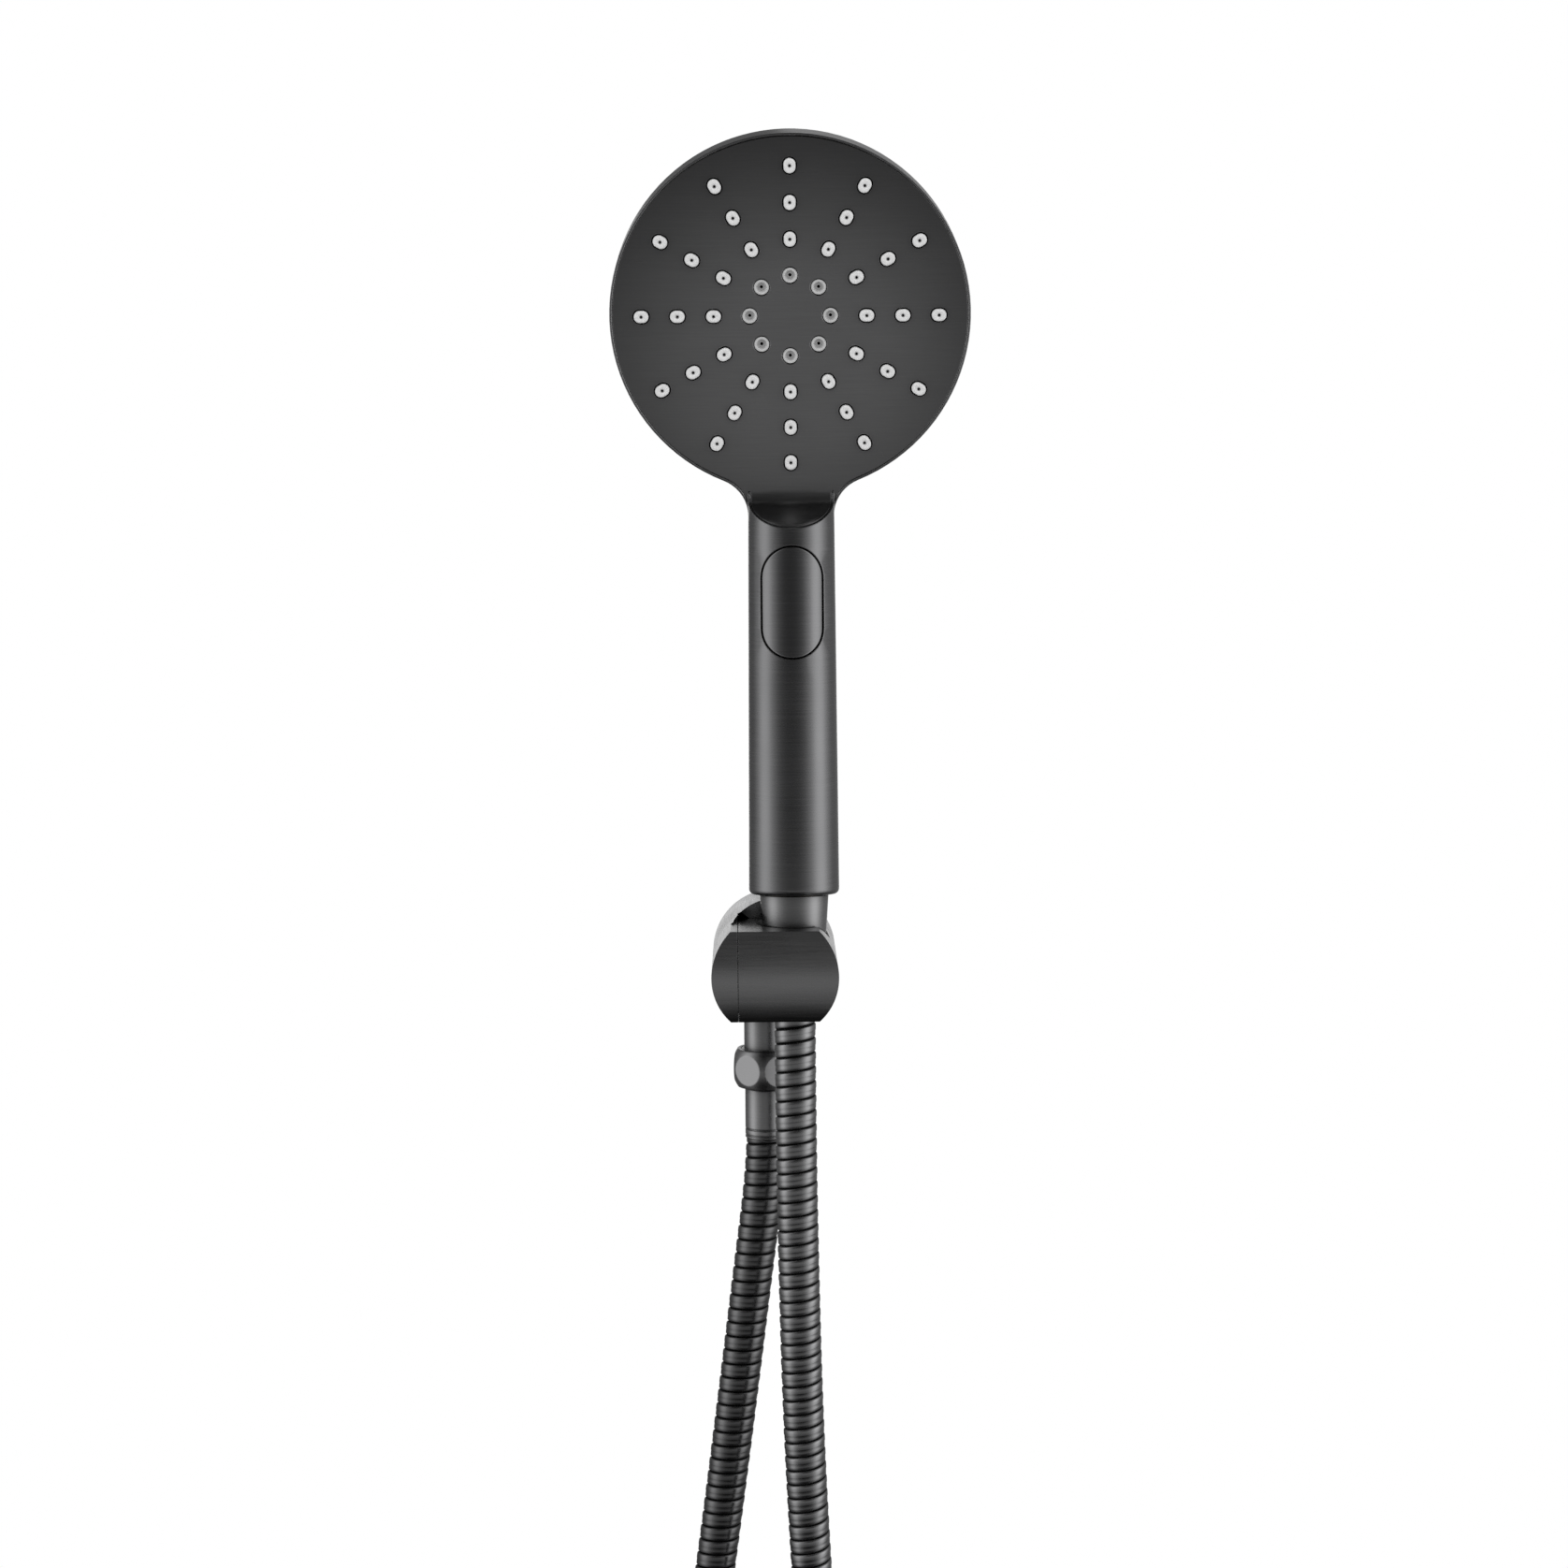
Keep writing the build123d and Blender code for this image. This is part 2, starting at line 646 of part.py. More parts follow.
nut_top = stub_foot + fit
nut_foot = nut_top - nut_height
nut_middle = nut_top - nut_height / 2
hexagon = RegularPolygon(nut_across_flats / 2, 6, major_radius=False, rotation=30 - nut_turn)
with BuildSketch(Plane.XZ) as barrel_half:
    with BuildLine():
        Polyline((nut_end / 2, nut_top), (0, nut_top), (0, nut_foot), (nut_end / 2, nut_foot))
        ThreePointArc((nut_end / 2, nut_foot), (nut_belly / 2, nut_middle), (nut_end / 2, nut_top))
    make_face()
dome = revolve(barrel_half.sketch, axis=Axis.Z)
nut = Pos(0, 0, nut_foot) * extrude(hexagon, amount=nut_height) & dome
nut -= column(outlet_thread + 2 * easy, nut_foot + nut_lip, nut_top + 1)
nut -= column(tail_diameter + 2 * easy, nut_foot - 1, nut_top)
save("union_nut", Pos(outlet_x, outlet_y) * nut)

tail_top = thread_foot - washer_thickness
sleeve_foot = nut_foot - easy - sleeve_length
tail = column(outlet_thread - 2 * easy, nut_foot + nut_lip, tail_top)
tail += column(tail_diameter, sleeve_foot, tail_top)
tail -= column(valve_hole, sleeve_foot - 1, tail_top + 1)
save("hose_tail", Pos(outlet_x, outlet_y) * tail)

sleeve = column(sleeve_diameter, sleeve_foot, nut_foot - easy)
sleeve = fillet(sleeve.edges().sort_by(Axis.Z)[-1], sleeve_round)
sleeve -= column(tail_diameter, sleeve_foot - 1, nut_foot)
for low in (sleeve_foot + sleeve_ring, sleeve_foot + sleeve_ring + sleeve_ring_pitch):
    sleeve -= collar(2 * sleeve_diameter, sleeve_diameter - 2 * sleeve_ring_depth, low, low + sleeve_ring)
save("hose_sleeve", Pos(outlet_x, outlet_y) * sleeve)

# Hose: front strand, put-away coil with its tie, and rear strand
front_points = [
    seated_point(0, 0, cone_foot),
    seated_point(0, 0, cone_foot - front_lead),
    Vector(7.3, -47.4, -100),
    Vector(8.3, -47.0, -148),
    Vector(10.2, -46.0, -193),
    Vector(12.8, -45.5, -238),
    Vector(46.0, -46.5, -283),
    Vector(72.0, -48.0, -326),
    Vector(72.0, -48.0, -368),
]
rear_points = [
    Vector(outlet_x, outlet_y, sleeve_foot - clear),
    Vector(-3.75, -15.1, -77),
    Vector(-8.2, -16.0, -110),
    Vector(-12.8, -16.6, -146),
    Vector(-20.2, -17.0, -202),
    Vector(-26.6, -19.0, -246),
    Vector(-58.0, -23.0, -287),
    Vector(-80.0, -25.5, -326),
    Vector(-80.0, -25.5, -368),
]
front_path = hose_path(front_points)
save("hose_front", ribbed_hose(front_path))
rear_path = hose_path(rear_points)
save("hose_rear", ribbed_hose(rear_path))

coil_place = front_points[-1] - Vector(coil_radius, 0, hose_diameter)
coil_path = winding(coil_radius, coil_pitch, 2 * coil_half_turns, coil_place, hose_diameter)
coil_end = Plane(origin=coil_path.position_at(0), x_dir=(1, 0, 0), z_dir=coil_path.tangent_at(0))
ring_section = coil_end * (Circle(hose_r) - Circle(hose_bore / 2))
coil = sweep(ring_section, path=coil_path)
save("hose_coil", coil)
coil_section = pi * (hose_r ** 2 - (hose_bore / 2) ** 2)
print("coil gap", round(least_gap(coil_path, hose_diameter, 600), 2))
print("coil volume share", round(coil.volume / coil_section / coil_path.length, 3))
print("hose length", round(front_path.length + coil_path.length + rear_path.length))

tie_turns = coil_half_turns // 2
tie_middle = coil_place + Vector(0, coil_pitch * (tie_turns + 0.5) / 2, -coil_radius)
tie_depth = hose_diameter + 2 * loose
tie_span = coil_pitch * tie_turns + tie_depth
tie_inner = SlotOverall(tie_span, tie_depth)
tie_outer = SlotOverall(tie_span + 2 * tie_thickness, tie_depth + 2 * tie_thickness)
tie_plane = Plane(origin=tie_middle, x_dir=(0, 1, 0), z_dir=(1, 0, 0))
save("hose_tie", extrude(tie_plane * (tie_outer - tie_inner), amount=tie_width / 2, both=True))
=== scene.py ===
"""Dresses the handheld shower head: brushed metal, soft nozzles, a wound metal hose and a plain studio.

Metres, +Z up. The wall is the plane y = 0 and the front looks towards -Y. Handset pieces are drawn upright
about their own axis and then seated in the leaning socket, as in the part's source.
"""

import math

import bpy
import numpy as np
from mathutils import Matrix


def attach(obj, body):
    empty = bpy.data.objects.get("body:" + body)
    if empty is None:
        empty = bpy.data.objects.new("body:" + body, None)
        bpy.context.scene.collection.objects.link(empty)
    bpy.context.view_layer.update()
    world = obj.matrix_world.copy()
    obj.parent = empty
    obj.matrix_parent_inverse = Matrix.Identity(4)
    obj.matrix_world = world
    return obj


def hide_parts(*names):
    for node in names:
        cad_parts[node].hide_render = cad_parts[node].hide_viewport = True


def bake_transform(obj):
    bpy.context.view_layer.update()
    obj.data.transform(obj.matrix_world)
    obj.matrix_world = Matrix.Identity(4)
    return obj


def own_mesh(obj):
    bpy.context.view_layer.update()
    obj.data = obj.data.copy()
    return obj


bl_info = {
    "name": "Handheld shower head",
    "version": (1, 0, 0),
    "blender": (4, 5, 0),
    "location": "View3D > Sidebar > Shower",
    "description": "Builds the finishes, nozzles, hose, tie and stage of a handheld shower head",
    "category": "Object",
}

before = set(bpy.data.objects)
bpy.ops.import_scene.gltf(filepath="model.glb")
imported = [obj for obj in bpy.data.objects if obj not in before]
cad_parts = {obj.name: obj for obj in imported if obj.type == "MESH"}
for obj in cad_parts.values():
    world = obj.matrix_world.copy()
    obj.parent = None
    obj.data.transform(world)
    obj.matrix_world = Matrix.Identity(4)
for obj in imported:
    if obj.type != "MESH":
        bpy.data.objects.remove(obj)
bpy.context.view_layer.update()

# The leaning socket, and the foot of the cone nut that the hose leaves
LEAN = math.radians(5.0)
SOCKET = np.array((0.0067, -0.042, 0.0))
CONE_FOOT = -0.0132

# The spray face on the upright handset
FACE_TILT = math.radians(15.6)
NECK_HEIGHT = 0.1585
NECK_LIP = 0.0017
HEAD_RADIUS = 0.060
FACE_HEIGHT = NECK_HEIGHT + NECK_LIP + HEAD_RADIUS * math.cos(FACE_TILT)
FACE_CENTRE = np.array((0.0, -(FACE_HEIGHT - NECK_HEIGHT) * math.tan(FACE_TILT), FACE_HEIGHT))

# Spray face: where its painted sheen is fullest, how far it fades from there into painted shade, and where
# the tongue bends back
SHEEN_CENTRE = -0.015
SHEEN_REACH = (0.02, 0.085)
SHEEN_SHARE = 0.35
BEND_TOP = -0.054
BEND_RADIUS = 0.004
BEND_FADE = 0.004
BEND_MIDDLE = (0.006, 0.010)

# A nozzle from foot to hole: share of its width, of its straight sides and of its reach, and how sunk it is,
# which sets its painted shade
NOZZLE_OUTLINE = np.array((
    (1.00, 1.0, -2.0, 1.0), (1.00, 1.0, -0.22, 1.0), (1.00, 1.0, 0.08, 0.0), (1.00, 1.0, 0.58, 0.0),
    (0.98, 1.0, 0.75, 0.0), (0.92, 1.0, 0.89, 0.0), (0.82, 1.0, 0.98, 0.0), (0.69, 0.9, 1.0, 0.0),
    (0.50, 0.4, 0.97, 0.0), (0.36, 0.1, 0.90, 0.0), (0.30, 0.0, 0.77, 0.3), (0.00, 0.0, 0.54, 0.9),
    (0.00, 0.0, -2.0, 1.0),
))
NOZZLE_AROUND = 28

# The mat under the nozzles: radius and level of its section's corners on the face
MAT_SECTION = np.array(((0.0530, -0.00425), (0.0530, -0.00225), (0.0191, -0.00225), (0.0191, -0.00425)))
MAT_AROUND = 96

# The spring behind the mode button, about the press axis of the upright handset
SPRING_HEIGHT = 0.123
SPRING_START = -0.0075
SPRING_END = 0.0005
SPRING_RADIUS = 0.0039
SPRING_WIRE = 0.0009
SPRING_TURNS = 5
SPRING_ROWS = 24
SPRING_AROUND = 10

# Seam between the bracket's end and its holder, across the round front, where a black shim paints its shade
SEAM_FACES = (-0.01248, -0.01224)
SEAM_HALF_HEIGHT = 0.01522
SEAM_INSET = 0.00025
SEAM_DEPTH = 0.004
SEAM_ROWS = 33
FRONT_RADIUS = 0.043
FRONT_REACH = 0.062

# Routes of the two strands, and how finely their splines are read
FRONT_LEAD = 0.043
FRONT_ROUTE = (
    (0.0073, -0.0474, -0.100), (0.0083, -0.0470, -0.148), (0.0102, -0.0460, -0.193),
    (0.0128, -0.0455, -0.238), (0.0460, -0.0465, -0.283), (0.0720, -0.0480, -0.326),
    (0.0720, -0.0480, -0.368),
)
REAR_ROUTE = (
    (-0.0032, -0.0150, -0.06355), (-0.00375, -0.0151, -0.077), (-0.0082, -0.0160, -0.110),
    (-0.0128, -0.0166, -0.146), (-0.0202, -0.0170, -0.202), (-0.0266, -0.0190, -0.246),
    (-0.0580, -0.0230, -0.287), (-0.0800, -0.0255, -0.326), (-0.0800, -0.0255, -0.368),
)
STRAND_STEPS = 100

# The end of the front strand that comes up with the handset, and the play it has in the strand
SLIDE_LENGTH = 0.06
SLIDE_PLAY = 0.0012

# The put-away coil, with its control points in each turn
COIL_RADIUS = 0.076
COIL_PITCH = 0.015
COIL_TURNS = 1.5
COIL_LEAD = 0.014
COIL_POINTS = 24
COIL_STEPS = 24
COIL_AROUND = 32

# The tie: where its strap starts and ends and where it climbs over itself, in degrees, and its play
TIE_ENDS = (-85.0, 425.0)
TIE_LAP = 235.0
TIE_CLIMB = 35.0
TIE_ROWS = 171
TIE_AROUND = 24
TIE_PLAY = 0.0005

# Finishes: how tightly noise is drawn along X, Y and Z, and the range that holds most of its values
BRUSHED_ROUND = (40.0, 40.0, 3000.0)
BRUSHED_LEVEL = (60.0, 60.0, 2500.0)
BRUSHED_FINE = (300.0, 300.0, 1500.0)
BRUSHED_STRIP = (250.0, 250.0, 2600.0)
NOISE = (0.3, 0.7)

# Finishes: tones of the painted shade in gaps and grooves and of the painted highlight on edges, how far a
# surface turns down into painted shade or an edge away, and the heights between which the rear strand is
# shaded by the wall
GAP_SHADE_TONE = (0.004, 0.004, 0.004, 1.0)
EDGE_HIGHLIGHT_TONE = (0.62, 0.62, 0.62, 1.0)
DOWN_TURN = (-0.35, -0.20)
EDGE_TURN = (0.80, 0.985)
WALL_SHADE = (-0.34, -0.24)
REAR_SHARE = 0.55
# How far painted shade reaches into the recesses of moulded pieces
MOULDED_RECESS = 0.003

# Stage: lamps with their place, size and power, the floor, and the shell with its gap in degrees
LAMPS = (
    ("light_left", (-1.3, -0.9, 0.5), 1.0, 9.0),
    ("light_right", (1.3, -0.9, 0.5), 1.0, 9.0),
    ("light_top", (0.0, -0.5, 1.6), 1.2, 8.0),
)
SENSOR_WIDTH = 36.0
VIEW_END = 50.0
WORLD_STRENGTH = 0.45
FLOOR_PLACE = (0.0, -0.05, -0.56)
FLOOR_FADE = (0.30, 0.95)
FLOOR_AROUND = 64
SHELL_RADIUS = 1.8
SHELL_GAP_TURN = 164
SHELL_GAP_LIFT = 14
RIGHT_SHIFT = 7


class ShowerHose(bpy.types.PropertyGroup):
    """Sizes of the wound metal hose and its tie."""

    diameter: bpy.props.FloatProperty(
        name="Diameter", description="Outside of the hose", default=0.014, unit="LENGTH")
    pitch: bpy.props.FloatProperty(
        name="Pitch", description="From one turn of the winding to the next", default=0.0049, unit="LENGTH")
    groove: bpy.props.FloatProperty(
        name="Groove", description="Depth of the groove between turns", default=0.00055, unit="LENGTH")
    step: bpy.props.FloatProperty(
        name="Step", description="Height of the folded seam on each turn", default=0.00014, unit="LENGTH")
    around: bpy.props.IntProperty(
        name="Around", description="Faces round the hose", default=48, min=12)
    tie_width: bpy.props.FloatProperty(
        name="Tie width", description="Width of the strap round the coil", default=0.012, unit="LENGTH")
    tie_thickness: bpy.props.FloatProperty(
        name="Tie thickness", description="Thickness of the strap", default=0.0013, unit="LENGTH")


class ShowerNozzles(bpy.types.PropertyGroup):
    """Sizes of the soft nozzles on the spray face."""

    width: bpy.props.FloatProperty(
        name="Width", description="Nozzle across its spoke", default=0.0040, unit="LENGTH")
    length: bpy.props.FloatProperty(
        name="Length", description="Nozzle along its spoke", default=0.0049, unit="LENGTH")
    reach: bpy.props.FloatProperty(
        name="Reach", description="How far a nozzle stands out of the face", default=0.0013, unit="LENGTH")
    hole: bpy.props.FloatProperty(
        name="Hole", description="Diameter of a nozzle's hole", default=0.0007, unit="LENGTH")
    outer_ring: bpy.props.FloatProperty(
        name="Outer ring", description="Radius of the outer ring of nozzles", default=0.0494, unit="LENGTH")
    ring_step: bpy.props.FloatProperty(
        name="Ring step", description="From one ring of nozzles to the next", default=0.012, unit="LENGTH")
    spokes: bpy.props.IntProperty(name="Spokes", description="Nozzles in each ring", default=12, min=3)
    rings: bpy.props.IntProperty(name="Rings", description="Rings of nozzles", default=3, min=1)


class ShowerFinish(bpy.types.PropertyGroup):
    """Colours of the finishes."""

    handle: bpy.props.FloatVectorProperty(
        name="Handle", description="Brushed metal of the handle and button", size=4,
        default=(0.25, 0.25, 0.255, 1.0), subtype="COLOR")
    face: bpy.props.FloatVectorProperty(
        name="Face", description="Brushed metal of the spray face", size=4,
        default=(0.37, 0.37, 0.375, 1.0), subtype="COLOR")
    bracket: bpy.props.FloatVectorProperty(
        name="Bracket", description="Brushed metal of the wall bracket", size=4,
        default=(0.42, 0.42, 0.425, 1.0), subtype="COLOR")
    fitting: bpy.props.FloatVectorProperty(
        name="Fitting", description="Turned metal of the cone, nut and sleeve", size=4,
        default=(0.36, 0.36, 0.365, 1.0), subtype="COLOR")
    hose: bpy.props.FloatVectorProperty(
        name="Hose", description="Wound hose metal", size=4,
        default=(0.335, 0.335, 0.34, 1.0), subtype="COLOR")
    silicone: bpy.props.FloatVectorProperty(
        name="Silicone", description="Soft nozzles", size=4,
        default=(0.72, 0.72, 0.72, 1.0), subtype="COLOR")
    jet: bpy.props.FloatVectorProperty(
        name="Jet", description="Moulded centre jets", size=4,
        default=(0.60, 0.60, 0.60, 1.0), subtype="COLOR")
    inner: bpy.props.FloatVectorProperty(
        name="Inner", description="Moulded pieces inside", size=4,
        default=(0.55, 0.55, 0.54, 1.0), subtype="COLOR")
    # Black also paints the shade of the seam's shim
    black: bpy.props.FloatVectorProperty(
        name="Black", description="Rubber, liner, seam and tie", size=4,
        default=(0.012, 0.012, 0.012, 1.0), subtype="COLOR")
    steel: bpy.props.FloatVectorProperty(
        name="Steel", description="Screws, spring and filter", size=4,
        default=(0.55, 0.55, 0.55, 1.0), subtype="COLOR")
    brass: bpy.props.FloatVectorProperty(
        name="Brass", description="Nipple, ferrule and tail", size=4,
        default=(0.62, 0.45, 0.20, 1.0), subtype="COLOR")


class ShowerStage(bpy.types.PropertyGroup):
    """Camera of the photograph and the studio."""

    lens: bpy.props.FloatProperty(
        name="Lens", description="Focal length", default=79.05, subtype="DISTANCE_CAMERA")
    place: bpy.props.FloatVectorProperty(
        name="Camera place", description="Where the camera stands", default=(-0.0057, -1.1914, 0.1898),
        subtype="XYZ")
    pitch: bpy.props.FloatProperty(
        name="Pitch", description="How far the camera looks down", default=math.radians(6.31),
        subtype="ANGLE")
    yaw: bpy.props.FloatProperty(
        name="Yaw", description="How far the camera looks to the right", default=math.radians(0.46),
        subtype="ANGLE")
    roll: bpy.props.FloatProperty(
        name="Roll", description="How far the camera is turned about its view", default=math.radians(-0.41),
        subtype="ANGLE")


def seated(points):
    """Turns upright handset points by the lean about X and moves them to the socket."""
    x, y, z = np.moveaxis(np.asarray(points, float), -1, 0)
    cosine, sine = math.cos(LEAN), math.sin(LEAN)
    return np.stack((x, y * cosine + z * sine, z * cosine - y * sine), -1) + SOCKET


def on_face(points):
    """Moves points given across, up and out of the spray face to their place on the seated handset."""
    across, up, out = np.moveaxis(np.asarray(points, float), -1, 0)
    cosine, sine = math.cos(FACE_TILT), math.sin(FACE_TILT)
    return seated(np.stack((across, -up * sine - out * cosine, up * cosine - out * sine), -1) + FACE_CENTRE)


def circle(count):
    """Angles of points spaced evenly round a circle."""
    return 2 * np.pi * np.arange(count) / count


def grid_faces(rows, columns, loop):
    """Quads of a grid whose columns close on themselves, and whose rows do too if it is a loop."""
    index = np.arange(rows * columns).reshape(rows, columns)
    index = np.column_stack((index, index[:, 0]))
    if loop:
        index = np.vstack((index, index[:1]))
    return np.stack((index[:-1, :-1], index[:-1, 1:], index[1:, 1:], index[1:, :-1]), -1).reshape(-1, 4)


def capped_faces(rows, columns):
    """Faces of a tube: the quads of its grid, and one flat face across each end."""
    index = np.arange(rows * columns).reshape(rows, columns)
    return grid_faces(rows, columns, False).tolist() + [index[0, ::-1].tolist(), index[-1].tolist()]


def mesh_object(name, points, faces, material):
    """Puts points and faces into a new mesh object in the scene, with its finish."""
    mesh = bpy.data.meshes.new(name)
    mesh.from_pydata(np.asarray(points).reshape(-1, 3), [], faces)
    mesh.materials.append(material)
    made = bpy.data.objects.new(name, mesh)
    bpy.context.scene.collection.objects.link(made)
    return made


def mesh_piece(name, points, faces, body, material, smooth=True):
    """A mesh object for a piece, with its finish, shaded smooth or flat: it rides on a body, if one is given.
    """
    piece = mesh_object(name, points, faces, material)
    piece.data.validate()
    piece.data.polygons.foreach_set("use_smooth", np.full(len(piece.data.polygons), smooth))
    if body:
        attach(piece, body)
    return piece


def mark(piece, name, values):
    """Gives each point of a mesh a number that its finish reads."""
    made = piece.data.attributes.new(name, "FLOAT", "POINT")
    made.data.foreach_set("value", np.asarray(values, np.float32).ravel())


def give(material, *names):
    """Puts one finish on carried-over pieces."""
    for name in names:
        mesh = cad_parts[name].data
        mesh.materials.clear()
        mesh.materials.append(material)


def add(tree, kind, values, **settings):
    """Adds one node to a tree: a value that is a socket is linked, and any other is set."""
    made = tree.nodes.new("ShaderNode" + kind)
    for name, value in settings.items():
        setattr(made, name, value)
    for name, value in values.items():
        if isinstance(value, bpy.types.NodeSocket):
            tree.links.new(value, made.inputs[name])
        else:
            made.inputs[name].default_value = value
    return made


def new_material(name):
    """An empty node material with its tree and shader."""
    material = bpy.data.materials.new(name)
    material.use_nodes = True
    return material, material.node_tree, material.node_tree.nodes["Principled BSDF"]


def ramp(tree, value, low, high, to_low, to_high, kind="LINEAR"):
    """Carries a value from one range to another."""
    return add(tree, "MapRange", {"Value": value, "From Min": low, "From Max": high, "To Min": to_low,
                                  "To Max": to_high}, interpolation_type=kind).outputs["Result"]


def product(tree, colour, share):
    """A colour times a grey share."""
    return add(tree, "Mix", {"Factor": 1.0, "A": colour, "B": share}, data_type="RGBA",
               blend_type="MULTIPLY").outputs["Result"]


def brushed_metal(name, colour, roughness, stretch, turn=(0.0, 0.0, 0.0), edge=0.0004, edge_highlight=0.2, recess=0.008,
                  fade=None, bend=None, under=1.0):
    """Metal with fine straight brushing, softened edges, a painted highlight on its edges and painted shade
    in its recesses.

    Noise stretched in Object coordinates drives tone, roughness and bump. The rounded normal at an edge, set
    against the plain one, places the painted edge highlight. Recess is how far the painted shade of ambient
    occlusion reaches. Fade is a place, the near and far distance from it, and the share of the tone that is
    left far off: a painted sheen that is fullest near the place and turns to painted shade further off. Bend
    is a height below which edges near the middle are softened further, and by how much. Under is the share of
    the tone that is left where the surface turns down, as painted shade on undersides.
    """
    material, tree, shader = new_material(name)
    shader.inputs["Metallic"].default_value = 1.0
    place = add(tree, "TexCoord", {}).outputs["Object"]
    drawn = add(tree, "Mapping", {"Vector": place, "Rotation": turn, "Scale": stretch}).outputs["Vector"]
    streaks = add(tree, "TexNoise", {"Vector": drawn, "Scale": 1.0, "Detail": 4.0, "Roughness": 0.65})
    streaks = streaks.outputs["Fac"]
    smudge = add(tree, "TexNoise", {"Vector": place, "Scale": 45.0, "Detail": 2.0}).outputs["Fac"]
    base = product(tree, colour, ramp(tree, streaks, *NOISE, 0.93, 1.06))
    # Painted sheen: the tone is fullest near the fade's place and turns to painted shade further off
    if fade:
        centre, reach, share = fade
        away = add(tree, "VectorMath", {0: place, 1: centre}, operation="DISTANCE").outputs["Value"]
        base = product(tree, base, ramp(tree, away, *reach, 1.0, share, "SMOOTHSTEP"))
    plain = add(tree, "NewGeometry", {}).outputs["Normal"]
    # Painted shade on surfaces that turn down
    if under < 1.0:
        lean = add(tree, "SeparateXYZ", {"Vector": plain}).outputs["Z"]
        base = product(tree, base, ramp(tree, lean, *DOWN_TURN, under, 1.0))
    # Painted shade in recesses, from ambient occlusion
    shade = add(tree, "AmbientOcclusion", {"Color": base, "Distance": recess}, samples=8).outputs["Color"]
    # Painted highlight: a light tone is mixed in where the rounded normal turns away from the plain one
    rounded = add(tree, "Bevel", {"Radius": edge}, samples=6).outputs["Normal"]
    same = add(tree, "VectorMath", {0: rounded, 1: plain}, operation="DOT_PRODUCT").outputs["Value"]
    edge_lit = ramp(tree, same, *EDGE_TURN, edge_highlight, 0.0)
    bright = add(tree, "Mix", {"Factor": edge_lit, "A": shade, "B": EDGE_HIGHLIGHT_TONE}, data_type="RGBA")
    tree.links.new(bright.outputs["Result"], shader.inputs["Base Color"])
    gloss = ramp(tree, streaks, *NOISE, roughness - 0.04, roughness + 0.04)
    dull = ramp(tree, smudge, 0.35, 0.7, 0.0, 0.05)
    total = add(tree, "Math", {0: gloss, 1: dull}, operation="ADD").outputs[0]
    tree.links.new(total, shader.inputs["Roughness"])
    if bend:
        top, radius = bend
        spot = add(tree, "SeparateXYZ", {"Vector": place}).outputs
        softer = add(tree, "Bevel", {"Radius": radius}, samples=12).outputs["Normal"]
        aside = add(tree, "Math", {0: spot["X"], 1: SOCKET[0]}, operation="SUBTRACT").outputs[0]
        aside = add(tree, "Math", {0: aside}, operation="ABSOLUTE").outputs[0]
        middle = ramp(tree, aside, *BEND_MIDDLE, 1.0, 0.0)
        below = ramp(tree, spot["Z"], top - BEND_FADE, top, 1.0, 0.0)
        below = add(tree, "Math", {0: below, 1: middle}, operation="MULTIPLY").outputs[0]
        rounded = add(tree, "Mix", {"Factor": below, "A": rounded, "B": softer}, data_type="VECTOR")
        rounded = rounded.outputs["Result"]
    bump = add(tree, "Bump", {"Strength": 0.06, "Distance": 0.00005, "Height": streaks, "Normal": rounded})
    tree.links.new(bump.outputs["Normal"], shader.inputs["Normal"])
    return material


def moulded(name, colour, roughness, grain):
    """Moulded plastic or rubber: fine noise in Object coordinates shifts its tone, and painted shade darkens
    its recesses.
    """
    material, tree, shader = new_material(name)
    place = add(tree, "TexCoord", {}).outputs["Object"]
    speckle = add(tree, "TexNoise", {"Vector": place, "Scale": grain, "Detail": 3.0}).outputs["Fac"]
    base = product(tree, colour, ramp(tree, speckle, *NOISE, 0.95, 1.04))
    # Painted shade in recesses, from ambient occlusion
    shade = add(tree, "AmbientOcclusion", {"Color": base, "Distance": MOULDED_RECESS}, samples=8)
    tree.links.new(shade.outputs["Color"], shader.inputs["Base Color"])
    shader.inputs["Roughness"].default_value = roughness
    bump = add(tree, "Bump", {"Strength": 0.1, "Distance": 0.0001, "Height": speckle})
    tree.links.new(bump.outputs["Normal"], shader.inputs["Normal"])
    return material


def soft_silicone(name, colour):
    """Nozzle silicone: pale at the tips, and painted shade where the piece's own sunk attribute puts it in
    its gap.
    """
    material, tree, shader = new_material(name)
    place = add(tree, "TexCoord", {}).outputs["Object"]
    speckle = add(tree, "TexNoise", {"Vector": place, "Scale": 900.0, "Detail": 2.0}).outputs["Fac"]
    base = product(tree, colour, ramp(tree, speckle, *NOISE, 0.97, 1.03))
    sunk = add(tree, "Attribute", {}, attribute_name="sunk").outputs["Fac"]
    # Painted shade: sunk parts are mixed towards a near-black tone
    dark = add(tree, "Mix", {"Factor": sunk, "A": base, "B": GAP_SHADE_TONE}, data_type="RGBA")
    tree.links.new(dark.outputs["Result"], shader.inputs["Base Color"])
    tree.links.new(ramp(tree, speckle, *NOISE, 0.40, 0.52), shader.inputs["Roughness"])
    shader.inputs["Subsurface Weight"].default_value = 0.15
    shader.inputs["Subsurface Radius"].default_value = (0.0006, 0.0006, 0.0006)
    return material


